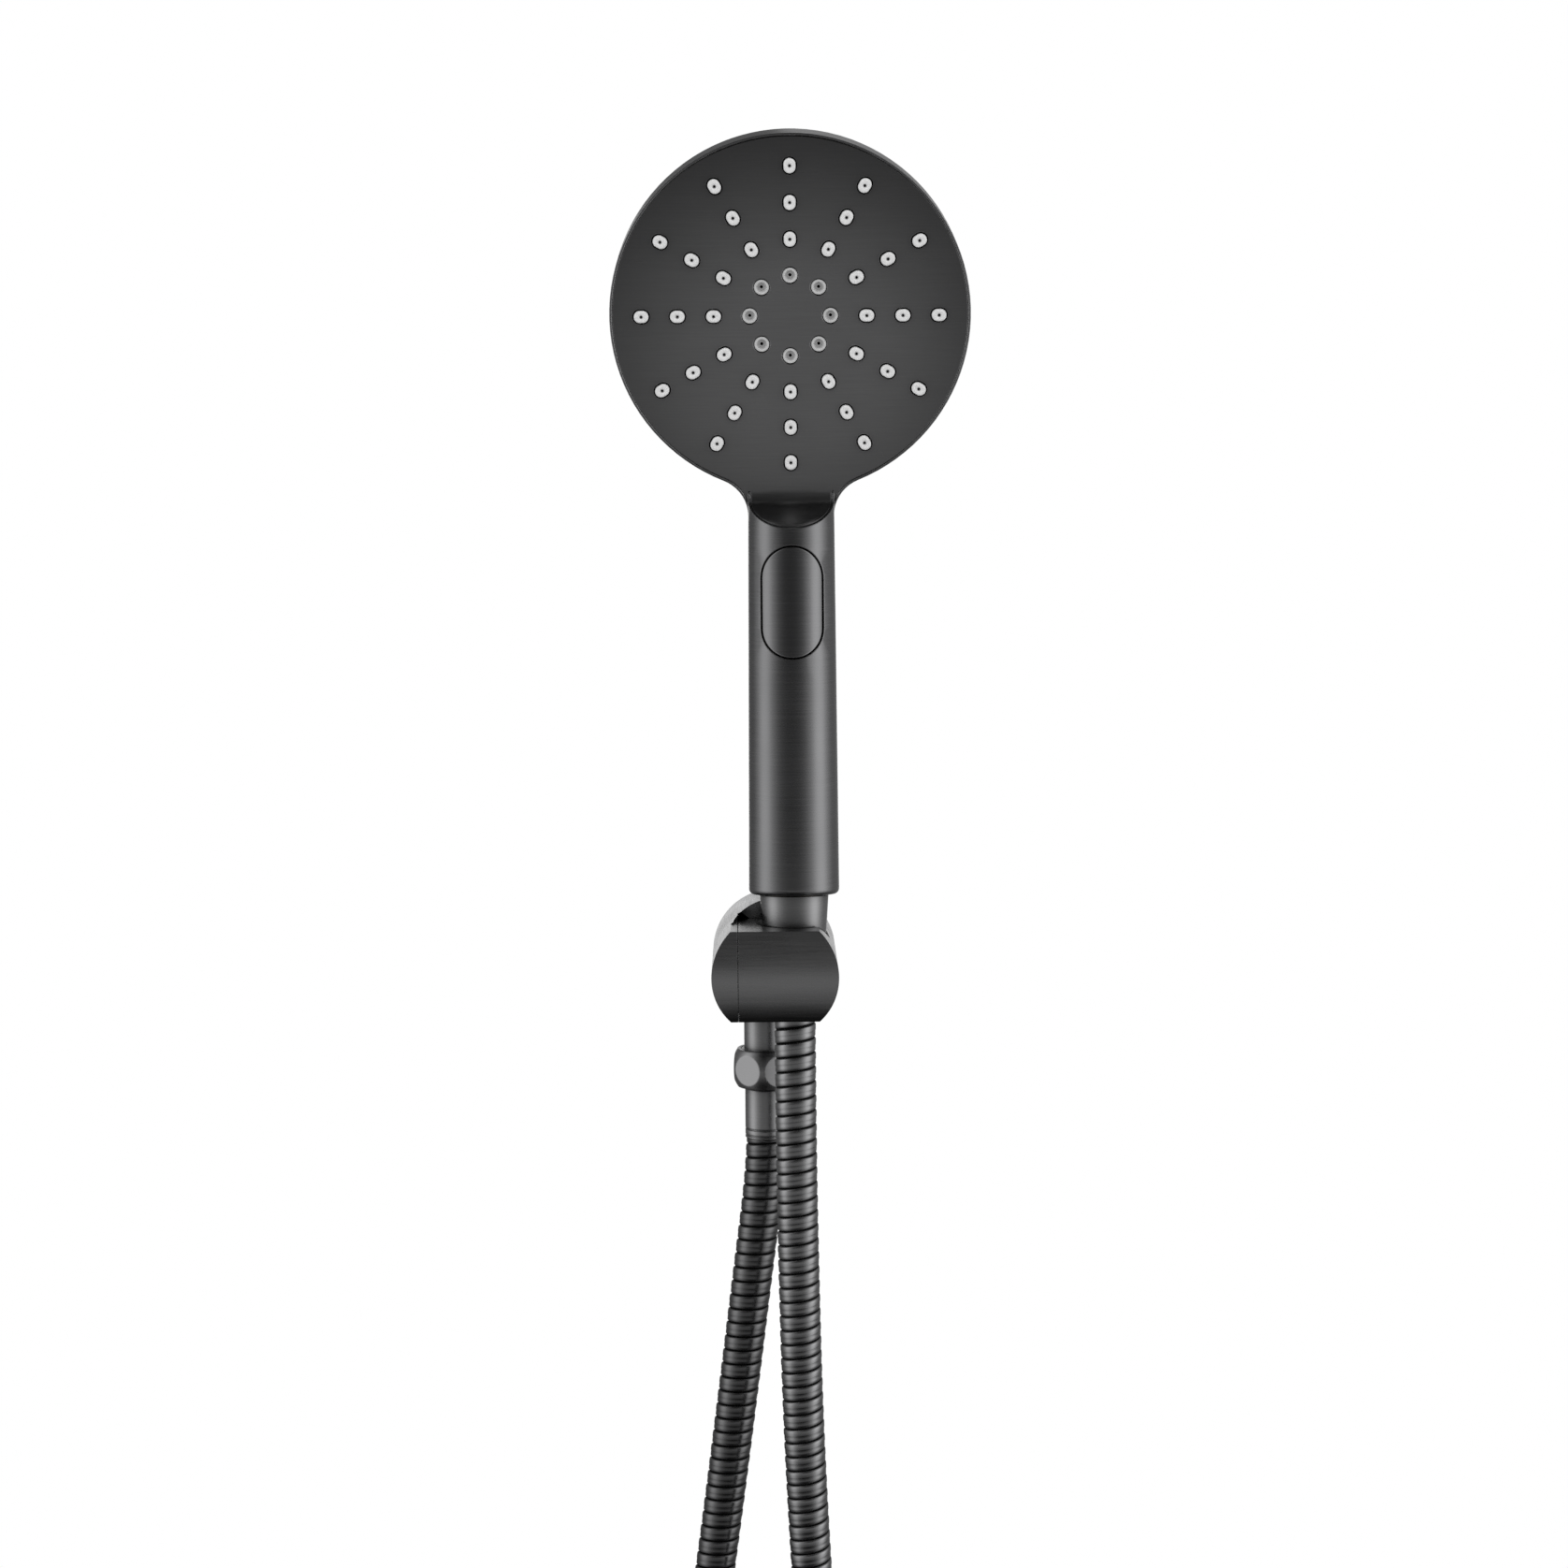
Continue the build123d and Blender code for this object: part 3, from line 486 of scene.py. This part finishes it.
def hose_metal(name, colour, shaded):
    """Wound strip metal: the piece's own groove attribute paints shade into the grooves and dulls them.

    Shaded is the share of its tone that is left high up, where the strand hangs close to the wall.
    """
    material, tree, shader = new_material(name)
    shader.inputs["Metallic"].default_value = 1.0
    groove = add(tree, "Attribute", {}, attribute_name="groove").outputs["Fac"]
    place = add(tree, "TexCoord", {}).outputs["Object"]
    drawn = add(tree, "Mapping", {"Vector": place, "Scale": BRUSHED_STRIP}).outputs["Vector"]
    streaks = add(tree, "TexNoise", {"Vector": drawn, "Scale": 1.0, "Detail": 3.0}).outputs["Fac"]
    base = product(tree, colour, ramp(tree, streaks, *NOISE, 0.94, 1.05))
    height = add(tree, "SeparateXYZ", {"Vector": place}).outputs["Z"]
    base = product(tree, base, ramp(tree, height, *WALL_SHADE, 1.0, shaded, "SMOOTHSTEP"))
    # Painted shade in the grooves: the groove depth mixes in a near-black tone
    tint = add(tree, "Mix", {"Factor": groove, "A": base, "B": GAP_SHADE_TONE}, data_type="RGBA")
    tree.links.new(tint.outputs["Result"], shader.inputs["Base Color"])
    dull = ramp(tree, groove, 0.0, 1.0, 0.24, 0.7)
    grain = ramp(tree, streaks, *NOISE, -0.03, 0.05)
    total = add(tree, "Math", {0: dull, 1: grain}, operation="ADD").outputs[0]
    tree.links.new(total, shader.inputs["Roughness"])
    return material


def webbing(name, colour):
    """Black strap weave: two crossed waves in Object coordinates raise the threads."""
    material, tree, shader = new_material(name)
    place = add(tree, "TexCoord", {}).outputs["Object"]
    warp = add(tree, "TexWave", {"Vector": place, "Scale": 420.0}, bands_direction="X").outputs["Fac"]
    weft = add(tree, "TexWave", {"Vector": place, "Scale": 420.0}, bands_direction="DIAGONAL").outputs["Fac"]
    thread = add(tree, "Math", {0: warp, 1: weft}, operation="MULTIPLY").outputs[0]
    base = product(tree, colour, ramp(tree, thread, 0.0, 1.0, 0.6, 1.9))
    tree.links.new(base, shader.inputs["Base Color"])
    shader.inputs["Roughness"].default_value = 0.75
    bump = add(tree, "Bump", {"Strength": 0.5, "Distance": 0.0002, "Height": thread})
    tree.links.new(bump.outputs["Normal"], shader.inputs["Normal"])
    return material


def spline_points(route, between):
    """Points of one smooth curve along a route, read from a spline of order 3 from its first to its last."""
    curve = bpy.data.curves.new("route", "CURVE")
    curve.dimensions = "3D"
    spline = curve.splines.new("NURBS")
    spline.points.add(len(route) - 1)
    weighted = np.column_stack((route, np.ones(len(route))))
    spline.points.foreach_set("co", weighted.ravel())
    spline.order_u = 3
    spline.use_endpoint_u = True
    spline.resolution_u = between
    carrier = bpy.data.objects.new("route", curve)
    line = bpy.data.meshes.new_from_object(carrier)
    points = np.empty(3 * len(line.vertices))
    line.vertices.foreach_get("co", points)
    bpy.data.objects.remove(carrier)
    bpy.data.curves.remove(curve)
    bpy.data.meshes.remove(line)
    return points.reshape(-1, 3)


def along(points):
    """Distance along a row of points, from its start to each point."""
    steps = np.linalg.norm(np.diff(points, axis=0), axis=1)
    return np.concatenate(((0.0,), np.cumsum(steps)))


def wound_tube(path, diameter, sizes, columns):
    """Points, faces and groove depth of a hose wound from strip.

    Each turn's profile is a groove, a crest and a low folded seam. A row of the grid follows one line of the
    profile round the hose, so it runs back by one pitch in each turn, and joins the row one turn before. Fans
    close both ends and the one turn there that has no row to join.
    """
    knots = np.array((0.00, 0.06, 0.10, 0.16, 0.30, 0.46, 0.50, 0.56, 0.72, 0.90, 0.96))
    drops = np.array((1.0, 1.0, 0.2, 0.0, 0.0, 0.0, 0.0, 0.0, 0.0, 0.15, 0.8))
    folds = np.array((0.0, 0.0, 0.0, 0.0, 0.0, 0.0, 0.3, 1.0, 1.0, 0.7, 0.0))
    place = along(path)
    length = place[-1]
    turns = int(math.ceil(length / sizes.pitch)) + 2
    rows = (np.arange(turns + 1)[:, None] + knots).ravel() * sizes.pitch
    drop = np.tile(drops, turns + 1)
    radius = diameter / 2 - sizes.groove * drop - sizes.step * np.tile(folds, turns + 1)
    angle = circle(columns)
    spot = np.clip(rows[:, None] - sizes.pitch * angle / (2 * np.pi), 0.0, length)
    centre = np.stack([np.interp(spot, place, axis) for axis in path.T], -1)
    ahead = np.gradient(path, place, axis=0)
    ahead = np.stack([np.interp(spot, place, axis) for axis in ahead.T], -1)
    ahead /= np.linalg.norm(ahead, axis=-1, keepdims=True)
    side = np.cross(ahead, (0.0, 1.0, 0.0))
    side /= np.linalg.norm(side, axis=-1, keepdims=True)
    front = np.cross(side, ahead)
    out = side * np.cos(angle)[:, None] + front * np.sin(angle)[:, None]
    skin = centre + out * radius[:, None, None]
    count = len(rows)
    index = np.arange(count * columns).reshape(count, columns)
    before = np.maximum(np.arange(count) - len(knots), 0)
    wrapped = np.column_stack((index, index[before, 0]))
    quads = np.stack((wrapped[:-1, :-1], wrapped[1:, :-1], wrapped[1:, 1:], wrapped[:-1, 1:]), -1)
    quads = quads[quads[..., 2] != quads[..., 3]]
    ends = np.stack((path[0], path[-1]))
    points = np.concatenate((skin.reshape(-1, 3), ends))
    depth = np.concatenate((np.repeat(drop, columns), (1.0, 1.0)))
    first, last = index[0], index[-1]
    tail = np.full(columns, count * columns)
    opening, closing = index[:len(knots) + 1, -1], index[-1 - len(knots):, 0]
    caps = [
        np.column_stack((tail, first, np.roll(first, -1))),
        np.column_stack((tail + 1, np.roll(last, -1), last)),
        np.column_stack((opening[:-1], opening[1:], np.full(len(knots), first[0]))),
        np.column_stack((closing[1:], closing[:-1], np.full(len(knots), last[-1]))),
    ]
    faces = quads.tolist() + np.concatenate(caps).tolist()
    return points, faces, depth


def wound_piece(name, path, diameter, columns, material):
    """A wound hose as a mesh object, with its groove depth as an attribute."""
    sizes = bpy.context.scene.shower_hose
    points, faces, depth = wound_tube(path, diameter, sizes, columns)
    piece = mesh_piece(name, points, faces, None, material)
    mark(piece, "groove", depth)
    return piece


def coil_centre():
    """Middle of the coil's first turn, beside the end of the front strand."""
    return np.array(FRONT_ROUTE[-1]) - (COIL_RADIUS, 0.0, COIL_LEAD)


def coil_route():
    """Points of the coil about Y: a straight lead down, turns that step back by the pitch, and a lead up."""
    centre = coil_centre()
    turn = np.linspace(0.0, 2 * np.pi * COIL_TURNS, int(COIL_POINTS * COIL_TURNS) + 1)
    swell = COIL_RADIUS / math.cos(math.pi / COIL_POINTS) ** 2
    back = COIL_PITCH * turn / (2 * np.pi)
    ring = centre + np.column_stack((swell * np.cos(turn), back, -swell * np.sin(turn)))
    ring[0] = centre + (COIL_RADIUS, 0.0, 0.0)
    ring[-1] = centre + (-COIL_RADIUS, COIL_PITCH * COIL_TURNS, 0.0)
    return np.vstack((FRONT_ROUTE[-1], ring, ring[-1] + (0.0, 0.0, COIL_LEAD)))


class SHOWER_OT_stage(bpy.types.Operator):
    """Set up the camera of the photograph, the pale floor and the soft studio light"""

    bl_idname = "shower.stage"
    bl_label = "Stage"

    def execute(self, context):
        scene = context.scene
        sizes = scene.shower_stage
        scene.view_settings.view_transform = "Standard"
        camera = bpy.data.objects.new("camera", bpy.data.cameras.new("camera"))
        camera.data.lens = sizes.lens
        camera.data.sensor_width = SENSOR_WIDTH
        camera.data.clip_end = VIEW_END
        camera.matrix_world = (
            Matrix.Translation(sizes.place) @ Matrix.Rotation(-sizes.yaw, 4, "Z")
            @ Matrix.Rotation(math.pi / 2 - sizes.pitch, 4, "X") @ Matrix.Rotation(sizes.roll, 4, "Z"))
        scene.collection.objects.link(camera)
        scene.camera = camera
        self.light(scene)
        self.world(scene)
        self.floor()
        self.surround()
        return {"FINISHED"}

    def light(self, scene):
        """Two soft lights at the sides and one above, aimed at the bracket and unseen in reflections."""
        for name, place, size, power in LAMPS:
            lamp = bpy.data.lights.new(name, "AREA")
            lamp.size = size
            lamp.energy = power
            holder = bpy.data.objects.new(name, lamp)
            holder.location = place
            aim = -np.array(place)
            holder.rotation_euler = (math.atan2(math.hypot(aim[0], aim[1]), -aim[2]), 0.0,
                                     math.atan2(-aim[0], aim[1]))
            holder.visible_glossy = False
            scene.collection.objects.link(holder)

    def world(self, scene):
        """Grey light for the object; white where the camera, metal and glass see past the stage."""
        world = bpy.data.worlds.new("studio")
        world.use_nodes = True
        tree = world.node_tree
        tree.nodes.clear()
        path = add(tree, "LightPath", {}).outputs
        seen = add(tree, "Math", {0: path["Is Camera Ray"], 1: path["Is Glossy Ray"]}, operation="MAXIMUM")
        through = add(tree, "Math", {0: seen.outputs[0], 1: path["Is Transmission Ray"]}, operation="MAXIMUM")
        soft = add(tree, "Background", {"Color": (1.0, 1.0, 1.0, 1.0), "Strength": WORLD_STRENGTH})
        white = add(tree, "Background", {"Color": (1.0, 1.0, 1.0, 1.0)})
        mix = add(tree, "MixShader", {0: through.outputs[0], 1: soft.outputs[0], 2: white.outputs[0]})
        add(tree, "OutputWorld", {0: mix.outputs[0]})
        scene.world = world

    def floor(self):
        """A pale round floor under the coil that keeps the shadow and fades into the white round it."""
        material, tree, shader = new_material("floor")
        shader.inputs["Base Color"].default_value = (0.86, 0.86, 0.86, 1.0)
        shader.inputs["Roughness"].default_value = 0.9
        shader.inputs["Specular IOR Level"].default_value = 0.0
        place = add(tree, "TexCoord", {}).outputs["Object"]
        reach = add(tree, "VectorMath", {0: place}, operation="LENGTH").outputs["Value"]
        fade = ramp(tree, reach, *FLOOR_FADE, 0.0, 1.0, "SMOOTHSTEP")
        white = add(tree, "Emission", {})
        mix = add(tree, "MixShader", {0: fade, 1: shader.outputs[0], 2: white.outputs[0]})
        tree.links.new(mix.outputs[0], tree.nodes["Material Output"].inputs[0])
        angle = circle(FLOOR_AROUND)
        rim = np.column_stack((np.cos(angle), np.sin(angle), np.zeros(FLOOR_AROUND)))
        floor = mesh_object("floor", rim, [list(range(FLOOR_AROUND))], material)
        floor.location = FLOOR_PLACE
        floor.visible_glossy = False

    def surround(self):
        """A round studio shell that only reflections see: dim ahead, bright at the sides, a gap behind.

        Its tone is a side glow by the angle from the front, a little stronger on the right and dimmed by
        height, plus a low glow ahead. Faces straight behind are left out, so that the white shows there.
        """
        turn = np.linspace(-180.0, 180.0, 181)[None, :]
        lift = np.linspace(-89.0, 89.0, 90)[:, None]
        aside = np.abs(turn)
        glow = np.interp(aside + RIGHT_SHIFT * (turn > 0), (0, 20, 38, 56, 70, 86, 102, 120, 150, 187),
                         (0, .02, .12, .5, 1.1, 1.1, .5, .2, .15, .2))
        glow = glow * np.interp(turn, (-180, -150, -60, 60, 150, 180), (1.0, 1.0, .95, 1.08, 1.5, 2.5))
        glow = glow * np.interp(lift, (-90, -60, -35, -10, 25, 50, 90), (.02, .1, .6, 1, 1, .5, .25))
        ahead = np.interp(lift, (-90, -50, -40, -28, -18, -10, -2, 6, 20, 34, 90),
                          (0, .005, .04, .15, .23, .27, .13, .06, .07, .04, .02))
        tone = glow + ahead * np.interp(aside, (0, 40, 70), (1, .8, 0))
        index = np.arange(tone.size).reshape(tone.shape)
        faces = np.stack((index[:-1, :-1], index[:-1, 1:], index[1:, 1:], index[1:, :-1]), -1)
        closed = (aside[:, :-1] < SHELL_GAP_TURN) | (np.abs(lift[:-1]) > SHELL_GAP_LIFT)
        turn, lift = np.radians(turn), np.radians(lift)
        shell = SHELL_RADIUS * np.stack(np.broadcast_arrays(
            np.sin(turn) * np.cos(lift), -np.cos(turn) * np.cos(lift), np.sin(lift)), -1)
        material, tree, shader = new_material("surround")
        tree.nodes.remove(shader)
        shade = add(tree, "Attribute", {}, attribute_name="tone").outputs["Fac"]
        light = add(tree, "Emission", {"Strength": shade})
        tree.links.new(light.outputs[0], tree.nodes["Material Output"].inputs[0])
        piece = mesh_object("surround", shell, faces[closed].tolist(), material)
        mark(piece, "tone", tone)
        piece.visible_camera = False
        piece.visible_diffuse = False
        piece.visible_shadow = False
        piece.visible_transmission = False


class SHOWER_OT_hose(bpy.types.Operator):
    """Wind the metal hose: front strand, the sliding end in it, rear strand and put-away coil"""

    bl_idname = "shower.hose"
    bl_label = "Hose"

    def execute(self, context):
        """Wind each strand along its route's spline, and the slide along the first part of the front one."""
        sizes = context.scene.shower_hose
        colours = context.scene.shower_finish
        metal = hose_metal("hose_metal", colours.hose, 1.0)
        shaded = hose_metal("hose_metal_shaded", colours.hose, REAR_SHARE)
        start = seated((0.0, 0.0, CONE_FOOT))
        lead = seated((0.0, 0.0, CONE_FOOT - FRONT_LEAD))
        front_path = spline_points(np.vstack((start, lead, FRONT_ROUTE)), STRAND_STEPS)
        front = wound_piece("hose_front_wound", front_path, sizes.diameter, sizes.around, metal)
        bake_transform(front)
        slide_path = front_path[along(front_path) < SLIDE_LENGTH]
        slide = wound_piece("hose_slide_wound", slide_path, sizes.diameter - SLIDE_PLAY, sizes.around, metal)
        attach(slide, "hose_end")
        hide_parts("hose_front")

        rear_path = spline_points(REAR_ROUTE, STRAND_STEPS)
        rear = wound_piece("hose_rear_wound", rear_path, sizes.diameter, sizes.around, shaded)
        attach(rear, "wall_bracket")
        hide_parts("hose_rear")

        coil_path = spline_points(coil_route(), COIL_STEPS)
        coil = wound_piece("hose_coil_wound", coil_path, sizes.diameter, COIL_AROUND, metal)
        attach(coil, "wall_bracket")
        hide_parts("hose_coil")
        return {"FINISHED"}


class SHOWER_OT_tie(bpy.types.Operator):
    """Wrap the woven strap round the two strands at the foot of the coil"""

    bl_idname = "shower.tie"
    bl_label = "Tie"

    def execute(self, context):
        """Carry a rounded flat section round a long loop about X, lifted over itself for the last part.

        The loop is two half circles set apart by the coil's pitch. The section is a circle whose cosine and
        sine are raised to low powers, which flattens its sides. A smooth step lifts it by its own thickness.
        """
        sizes = context.scene.shower_hose
        half = COIL_PITCH / 2
        middle = coil_centre() + (0.0, 1.5 * half, -COIL_RADIUS)
        turn = np.radians(np.linspace(*TIE_ENDS, TIE_ROWS))[:, None]
        rise = np.clip((turn - math.radians(TIE_LAP)) / math.radians(TIE_CLIMB), 0.0, 1.0)
        lap = sizes.tie_thickness * rise * rise * (3.0 - 2.0 * rise)
        angle = circle(TIE_AROUND)
        across = sizes.tie_width / 2 * np.sign(np.cos(angle)) * np.abs(np.cos(angle)) ** 0.3
        thick = sizes.tie_thickness / 2 * np.sign(np.sin(angle)) * np.abs(np.sin(angle)) ** 0.5
        reach = sizes.diameter / 2 + TIE_PLAY + sizes.tie_thickness / 2 + lap + thick
        points = middle + np.stack(np.broadcast_arrays(
            across, half * np.sign(np.cos(turn)) + reach * np.cos(turn), reach * np.sin(turn)), -1)
        faces = capped_faces(TIE_ROWS, TIE_AROUND)
        black = webbing("tie_webbing", context.scene.shower_finish.black)
        strap = mesh_piece("hose_tie_strap", points, faces, "wall_bracket", black)
        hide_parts("hose_tie")
        return {"FINISHED"}


class SHOWER_OT_seam(bpy.types.Operator):
    """Line the seam between the bracket's end and its holder with a black shim that paints its shade"""

    bl_idname = "shower.seam"
    bl_label = "Seam"

    def execute(self, context):
        """Carry a thin rectangle up along a circle about X, a little inside the round front."""
        height = np.linspace(-SEAM_HALF_HEIGHT, SEAM_HALF_HEIGHT, SEAM_ROWS)[:, None]
        front = FRONT_RADIUS - FRONT_REACH - np.sqrt((FRONT_RADIUS - SEAM_INSET) ** 2 - height ** 2)
        across = np.array(SEAM_FACES)[[0, 1, 1, 0]]
        back = front + SEAM_DEPTH * np.array((0, 0, 1, 1))
        points = np.stack(np.broadcast_arrays(across, back, height), -1)
        faces = capped_faces(SEAM_ROWS, across.size)
        # Painted shade: a black sheet in the seam stands for the shadow in the gap, in the moulded rubber
        # finish
        rubber = moulded("seam_shade", context.scene.shower_finish.black, 0.7, 900.0)
        mesh_piece("seam_shade_shim", points, faces, "wall_bracket", rubber, smooth=False)
        return {"FINISHED"}


class SHOWER_OT_nozzles(bpy.types.Operator):
    """Mould the soft nozzle mat with its rings of domed nozzles"""

    bl_idname = "shower.nozzles"
    bl_label = "Nozzles"

    def execute(self, context):
        """Stack long outlines up a nozzle, over its dome and down its hole, and repeat it on each spoke.

        An outline is a circle whose upper and lower halves are moved apart. The mat is its section turned
        about the middle of the face.
        """
        sizes = context.scene.shower_nozzles
        share, straight, height, sunk = NOZZLE_OUTLINE.T[..., None]
        angle = circle(NOZZLE_AROUND)
        radius = np.maximum(sizes.width / 2 * share, sizes.hole / 2)
        longer = (sizes.length - sizes.width) / 2 * straight
        wide = radius * np.cos(angle)
        tall = radius * np.sin(angle) + longer * np.sign(np.sin(angle))
        spoke = circle(sizes.spokes)[None, :, None, None]
        ring = (sizes.outer_ring - sizes.ring_step * np.arange(sizes.rings))[:, None, None, None]
        nozzles = np.stack(np.broadcast_arrays(
            wide * np.cos(spoke) - (ring + tall) * np.sin(spoke),
            wide * np.sin(spoke) + (ring + tall) * np.cos(spoke), sizes.reach * height), -1)
        count = sizes.spokes * sizes.rings
        each = wide.size
        faces = grid_faces(*wide.shape, True)[None] + (each * np.arange(count))[:, None, None]

        turn = circle(MAT_AROUND)
        reach, level = MAT_SECTION.T[..., None]
        mat = np.stack(np.broadcast_arrays(reach * np.cos(turn), reach * np.sin(turn), level), -1)
        points = on_face(np.concatenate((nozzles.reshape(-1, 3), mat.reshape(-1, 3))))
        mat_faces = grid_faces(*mat.shape[:2], True) + each * count
        faces = np.concatenate((faces.reshape(-1, 4), mat_faces))
        # Share of painted shade: the sunk rows of each nozzle, and all of the mat under the face
        sunk = np.broadcast_to(sunk, wide.shape).ravel()
        depth = np.concatenate((np.tile(sunk, count), np.ones(mat.size // 3)))
        silicone = soft_silicone("nozzle_silicone", context.scene.shower_finish.silicone)
        piece = mesh_piece("nozzle_mat_soft", points, faces.tolist(), "handset", silicone)
        mark(piece, "sunk", depth)
        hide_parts("nozzle_mat")
        return {"FINISHED"}


class SHOWER_OT_spring(bpy.types.Operator):
    """Wind the button's spring about the press axis"""

    bl_idname = "shower.spring"
    bl_label = "Spring"

    def execute(self, context):
        """Carry a round wire section along a helix about the press axis, with a flat face across each end."""
        rows = SPRING_ROWS * SPRING_TURNS + 1
        turn = np.linspace(0.0, 2 * np.pi * SPRING_TURNS, rows)[:, None]
        angle = circle(SPRING_AROUND)
        reach = SPRING_RADIUS + SPRING_WIRE / 2 * np.cos(angle)
        climb = np.linspace(SPRING_START, SPRING_END, rows)[:, None] - SPRING_WIRE / 2 * np.sin(angle)
        points = np.stack((reach * np.cos(turn), climb, SPRING_HEIGHT - reach * np.sin(turn)), -1)
        faces = capped_faces(rows, SPRING_AROUND)
        steel = brushed_metal("spring_steel", context.scene.shower_finish.steel, 0.28, BRUSHED_FINE)
        spring = mesh_piece("button_spring_wound", seated(points), faces, "handset", steel)
        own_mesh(spring)
        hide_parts("button_spring")
        return {"FINISHED"}


class SHOWER_OT_handset(bpy.types.Operator):
    """Finish the handle, button, spray face and jets"""

    bl_idname = "shower.handset"
    bl_label = "Handset finishes"

    def execute(self, context):
        colours = context.scene.shower_finish
        leaning = (-LEAN, 0.0, 0.0)
        centre = tuple(on_face((0.0, SHEEN_CENTRE, 0.0)))
        bend_top = on_face((0.0, BEND_TOP, 0.0))[2]
        # Handle: a strong painted highlight on its edges, as on its rim
        give(brushed_metal("gunmetal_handle", colours.handle, 0.25, BRUSHED_ROUND, leaning, edge=0.0006,
                           edge_highlight=0.45), "handle_shell")
        give(brushed_metal("gunmetal_button", colours.handle, 0.22, BRUSHED_ROUND, leaning), "mode_button")
        # Face: a painted sheen round its middle, with painted shade towards the rim
        give(brushed_metal("gunmetal_face", colours.face, 0.30, BRUSHED_LEVEL, edge_highlight=0.0,
                           fade=(centre, SHEEN_REACH, SHEEN_SHARE), bend=(bend_top, BEND_RADIUS)), "face_plate")
        give(brushed_metal("gunmetal_cone", colours.fitting, 0.26, BRUSHED_ROUND, leaning), "cone_nut")
        give(moulded("jet_plastic", colours.jet, 0.35, 800.0), "jet_insert")
        return {"FINISHED"}


class SHOWER_OT_bracket(bpy.types.Operator):
    """Finish the wall bracket, the swivelling holder and the outlet fittings"""

    bl_idname = "shower.bracket"
    bl_label = "Bracket finishes"

    def execute(self, context):
        colours = context.scene.shower_finish
        # Bracket: painted shade on its undersides and, reaching far, in its recesses, and no painted edge
        # highlight
        give(brushed_metal("gunmetal_bracket", colours.bracket, 0.26, BRUSHED_LEVEL, edge=0.00008, edge_highlight=0.0,
                           recess=0.035, under=0.2), "wall_body", "swivel_holder")
        # Fittings: a faint painted highlight on their edges
        give(brushed_metal("gunmetal_fitting", colours.fitting, 0.28, BRUSHED_LEVEL, edge=0.0007, edge_highlight=0.05),
             "union_nut", "hose_sleeve", "outlet_spigot")
        return {"FINISHED"}


class SHOWER_OT_inside(bpy.types.Operator):
    """Finish the moulded, rubber, steel and brass pieces inside"""

    bl_idname = "shower.inside"
    bl_label = "Inside finishes"

    def execute(self, context):
        colours = context.scene.shower_finish
        give(moulded("inner_plastic", colours.inner, 0.5, 500.0), "distribution_plate", "diverter_cartridge",
             "water_tube", "flow_restrictor", "pivot_bush", "check_valve", "button_stem")
        give(moulded("black_rubber", colours.black, 0.55, 900.0), "head_seal", "stem_seal", "nipple_seal",
             "hose_washer", "rear_washer", "inlet_seal", "socket_liner", "friction_washer")
        give(brushed_metal("steel", colours.steel, 0.28, BRUSHED_FINE),
             "face_screws", "inlet_filter", "pivot_screw")
        give(brushed_metal("brass", colours.brass, 0.30, BRUSHED_FINE),
             "inlet_nipple", "swivel_ferrule", "hose_tail")
        return {"FINISHED"}


class SHOWER_PT_sidebar(bpy.types.Panel):
    """Lists the pieces of the shower head and their sizes"""

    bl_idname = "SHOWER_PT_sidebar"
    bl_label = "Shower head"
    bl_space_type = "VIEW_3D"
    bl_region_type = "UI"
    bl_category = "Shower"

    def draw(self, context):
        for name, group in GROUPS.items():
            box = self.layout.box()
            for size in group.__annotations__:
                box.prop(getattr(context.scene, name), size)
        for operator in OPERATORS:
            self.layout.operator(operator.bl_idname)


GROUPS = {
    "shower_stage": ShowerStage,
    "shower_hose": ShowerHose,
    "shower_nozzles": ShowerNozzles,
    "shower_finish": ShowerFinish,
}
OPERATORS = (SHOWER_OT_stage, SHOWER_OT_tie, SHOWER_OT_hose, SHOWER_OT_seam, SHOWER_OT_nozzles,
             SHOWER_OT_spring, SHOWER_OT_handset, SHOWER_OT_bracket, SHOWER_OT_inside)


def register():
    for name, group in GROUPS.items():
        bpy.utils.register_class(group)
        setattr(bpy.types.Scene, name, bpy.props.PointerProperty(type=group))
    for operator in OPERATORS:
        bpy.utils.register_class(operator)
    bpy.utils.register_class(SHOWER_PT_sidebar)


def unregister():
    bpy.utils.unregister_class(SHOWER_PT_sidebar)
    for operator in reversed(OPERATORS):
        bpy.utils.unregister_class(operator)
    for name, group in GROUPS.items():
        delattr(bpy.types.Scene, name)
        bpy.utils.unregister_class(group)


def main():
    """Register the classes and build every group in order."""
    register()
    bpy.ops.shower.stage()
    bpy.ops.shower.tie()
    bpy.ops.shower.hose()
    bpy.ops.shower.seam()
    bpy.ops.shower.nozzles()
    bpy.ops.shower.spring()
    bpy.ops.shower.handset()
    bpy.ops.shower.bracket()
    bpy.ops.shower.inside()


if __name__ == "__main__":
    main()
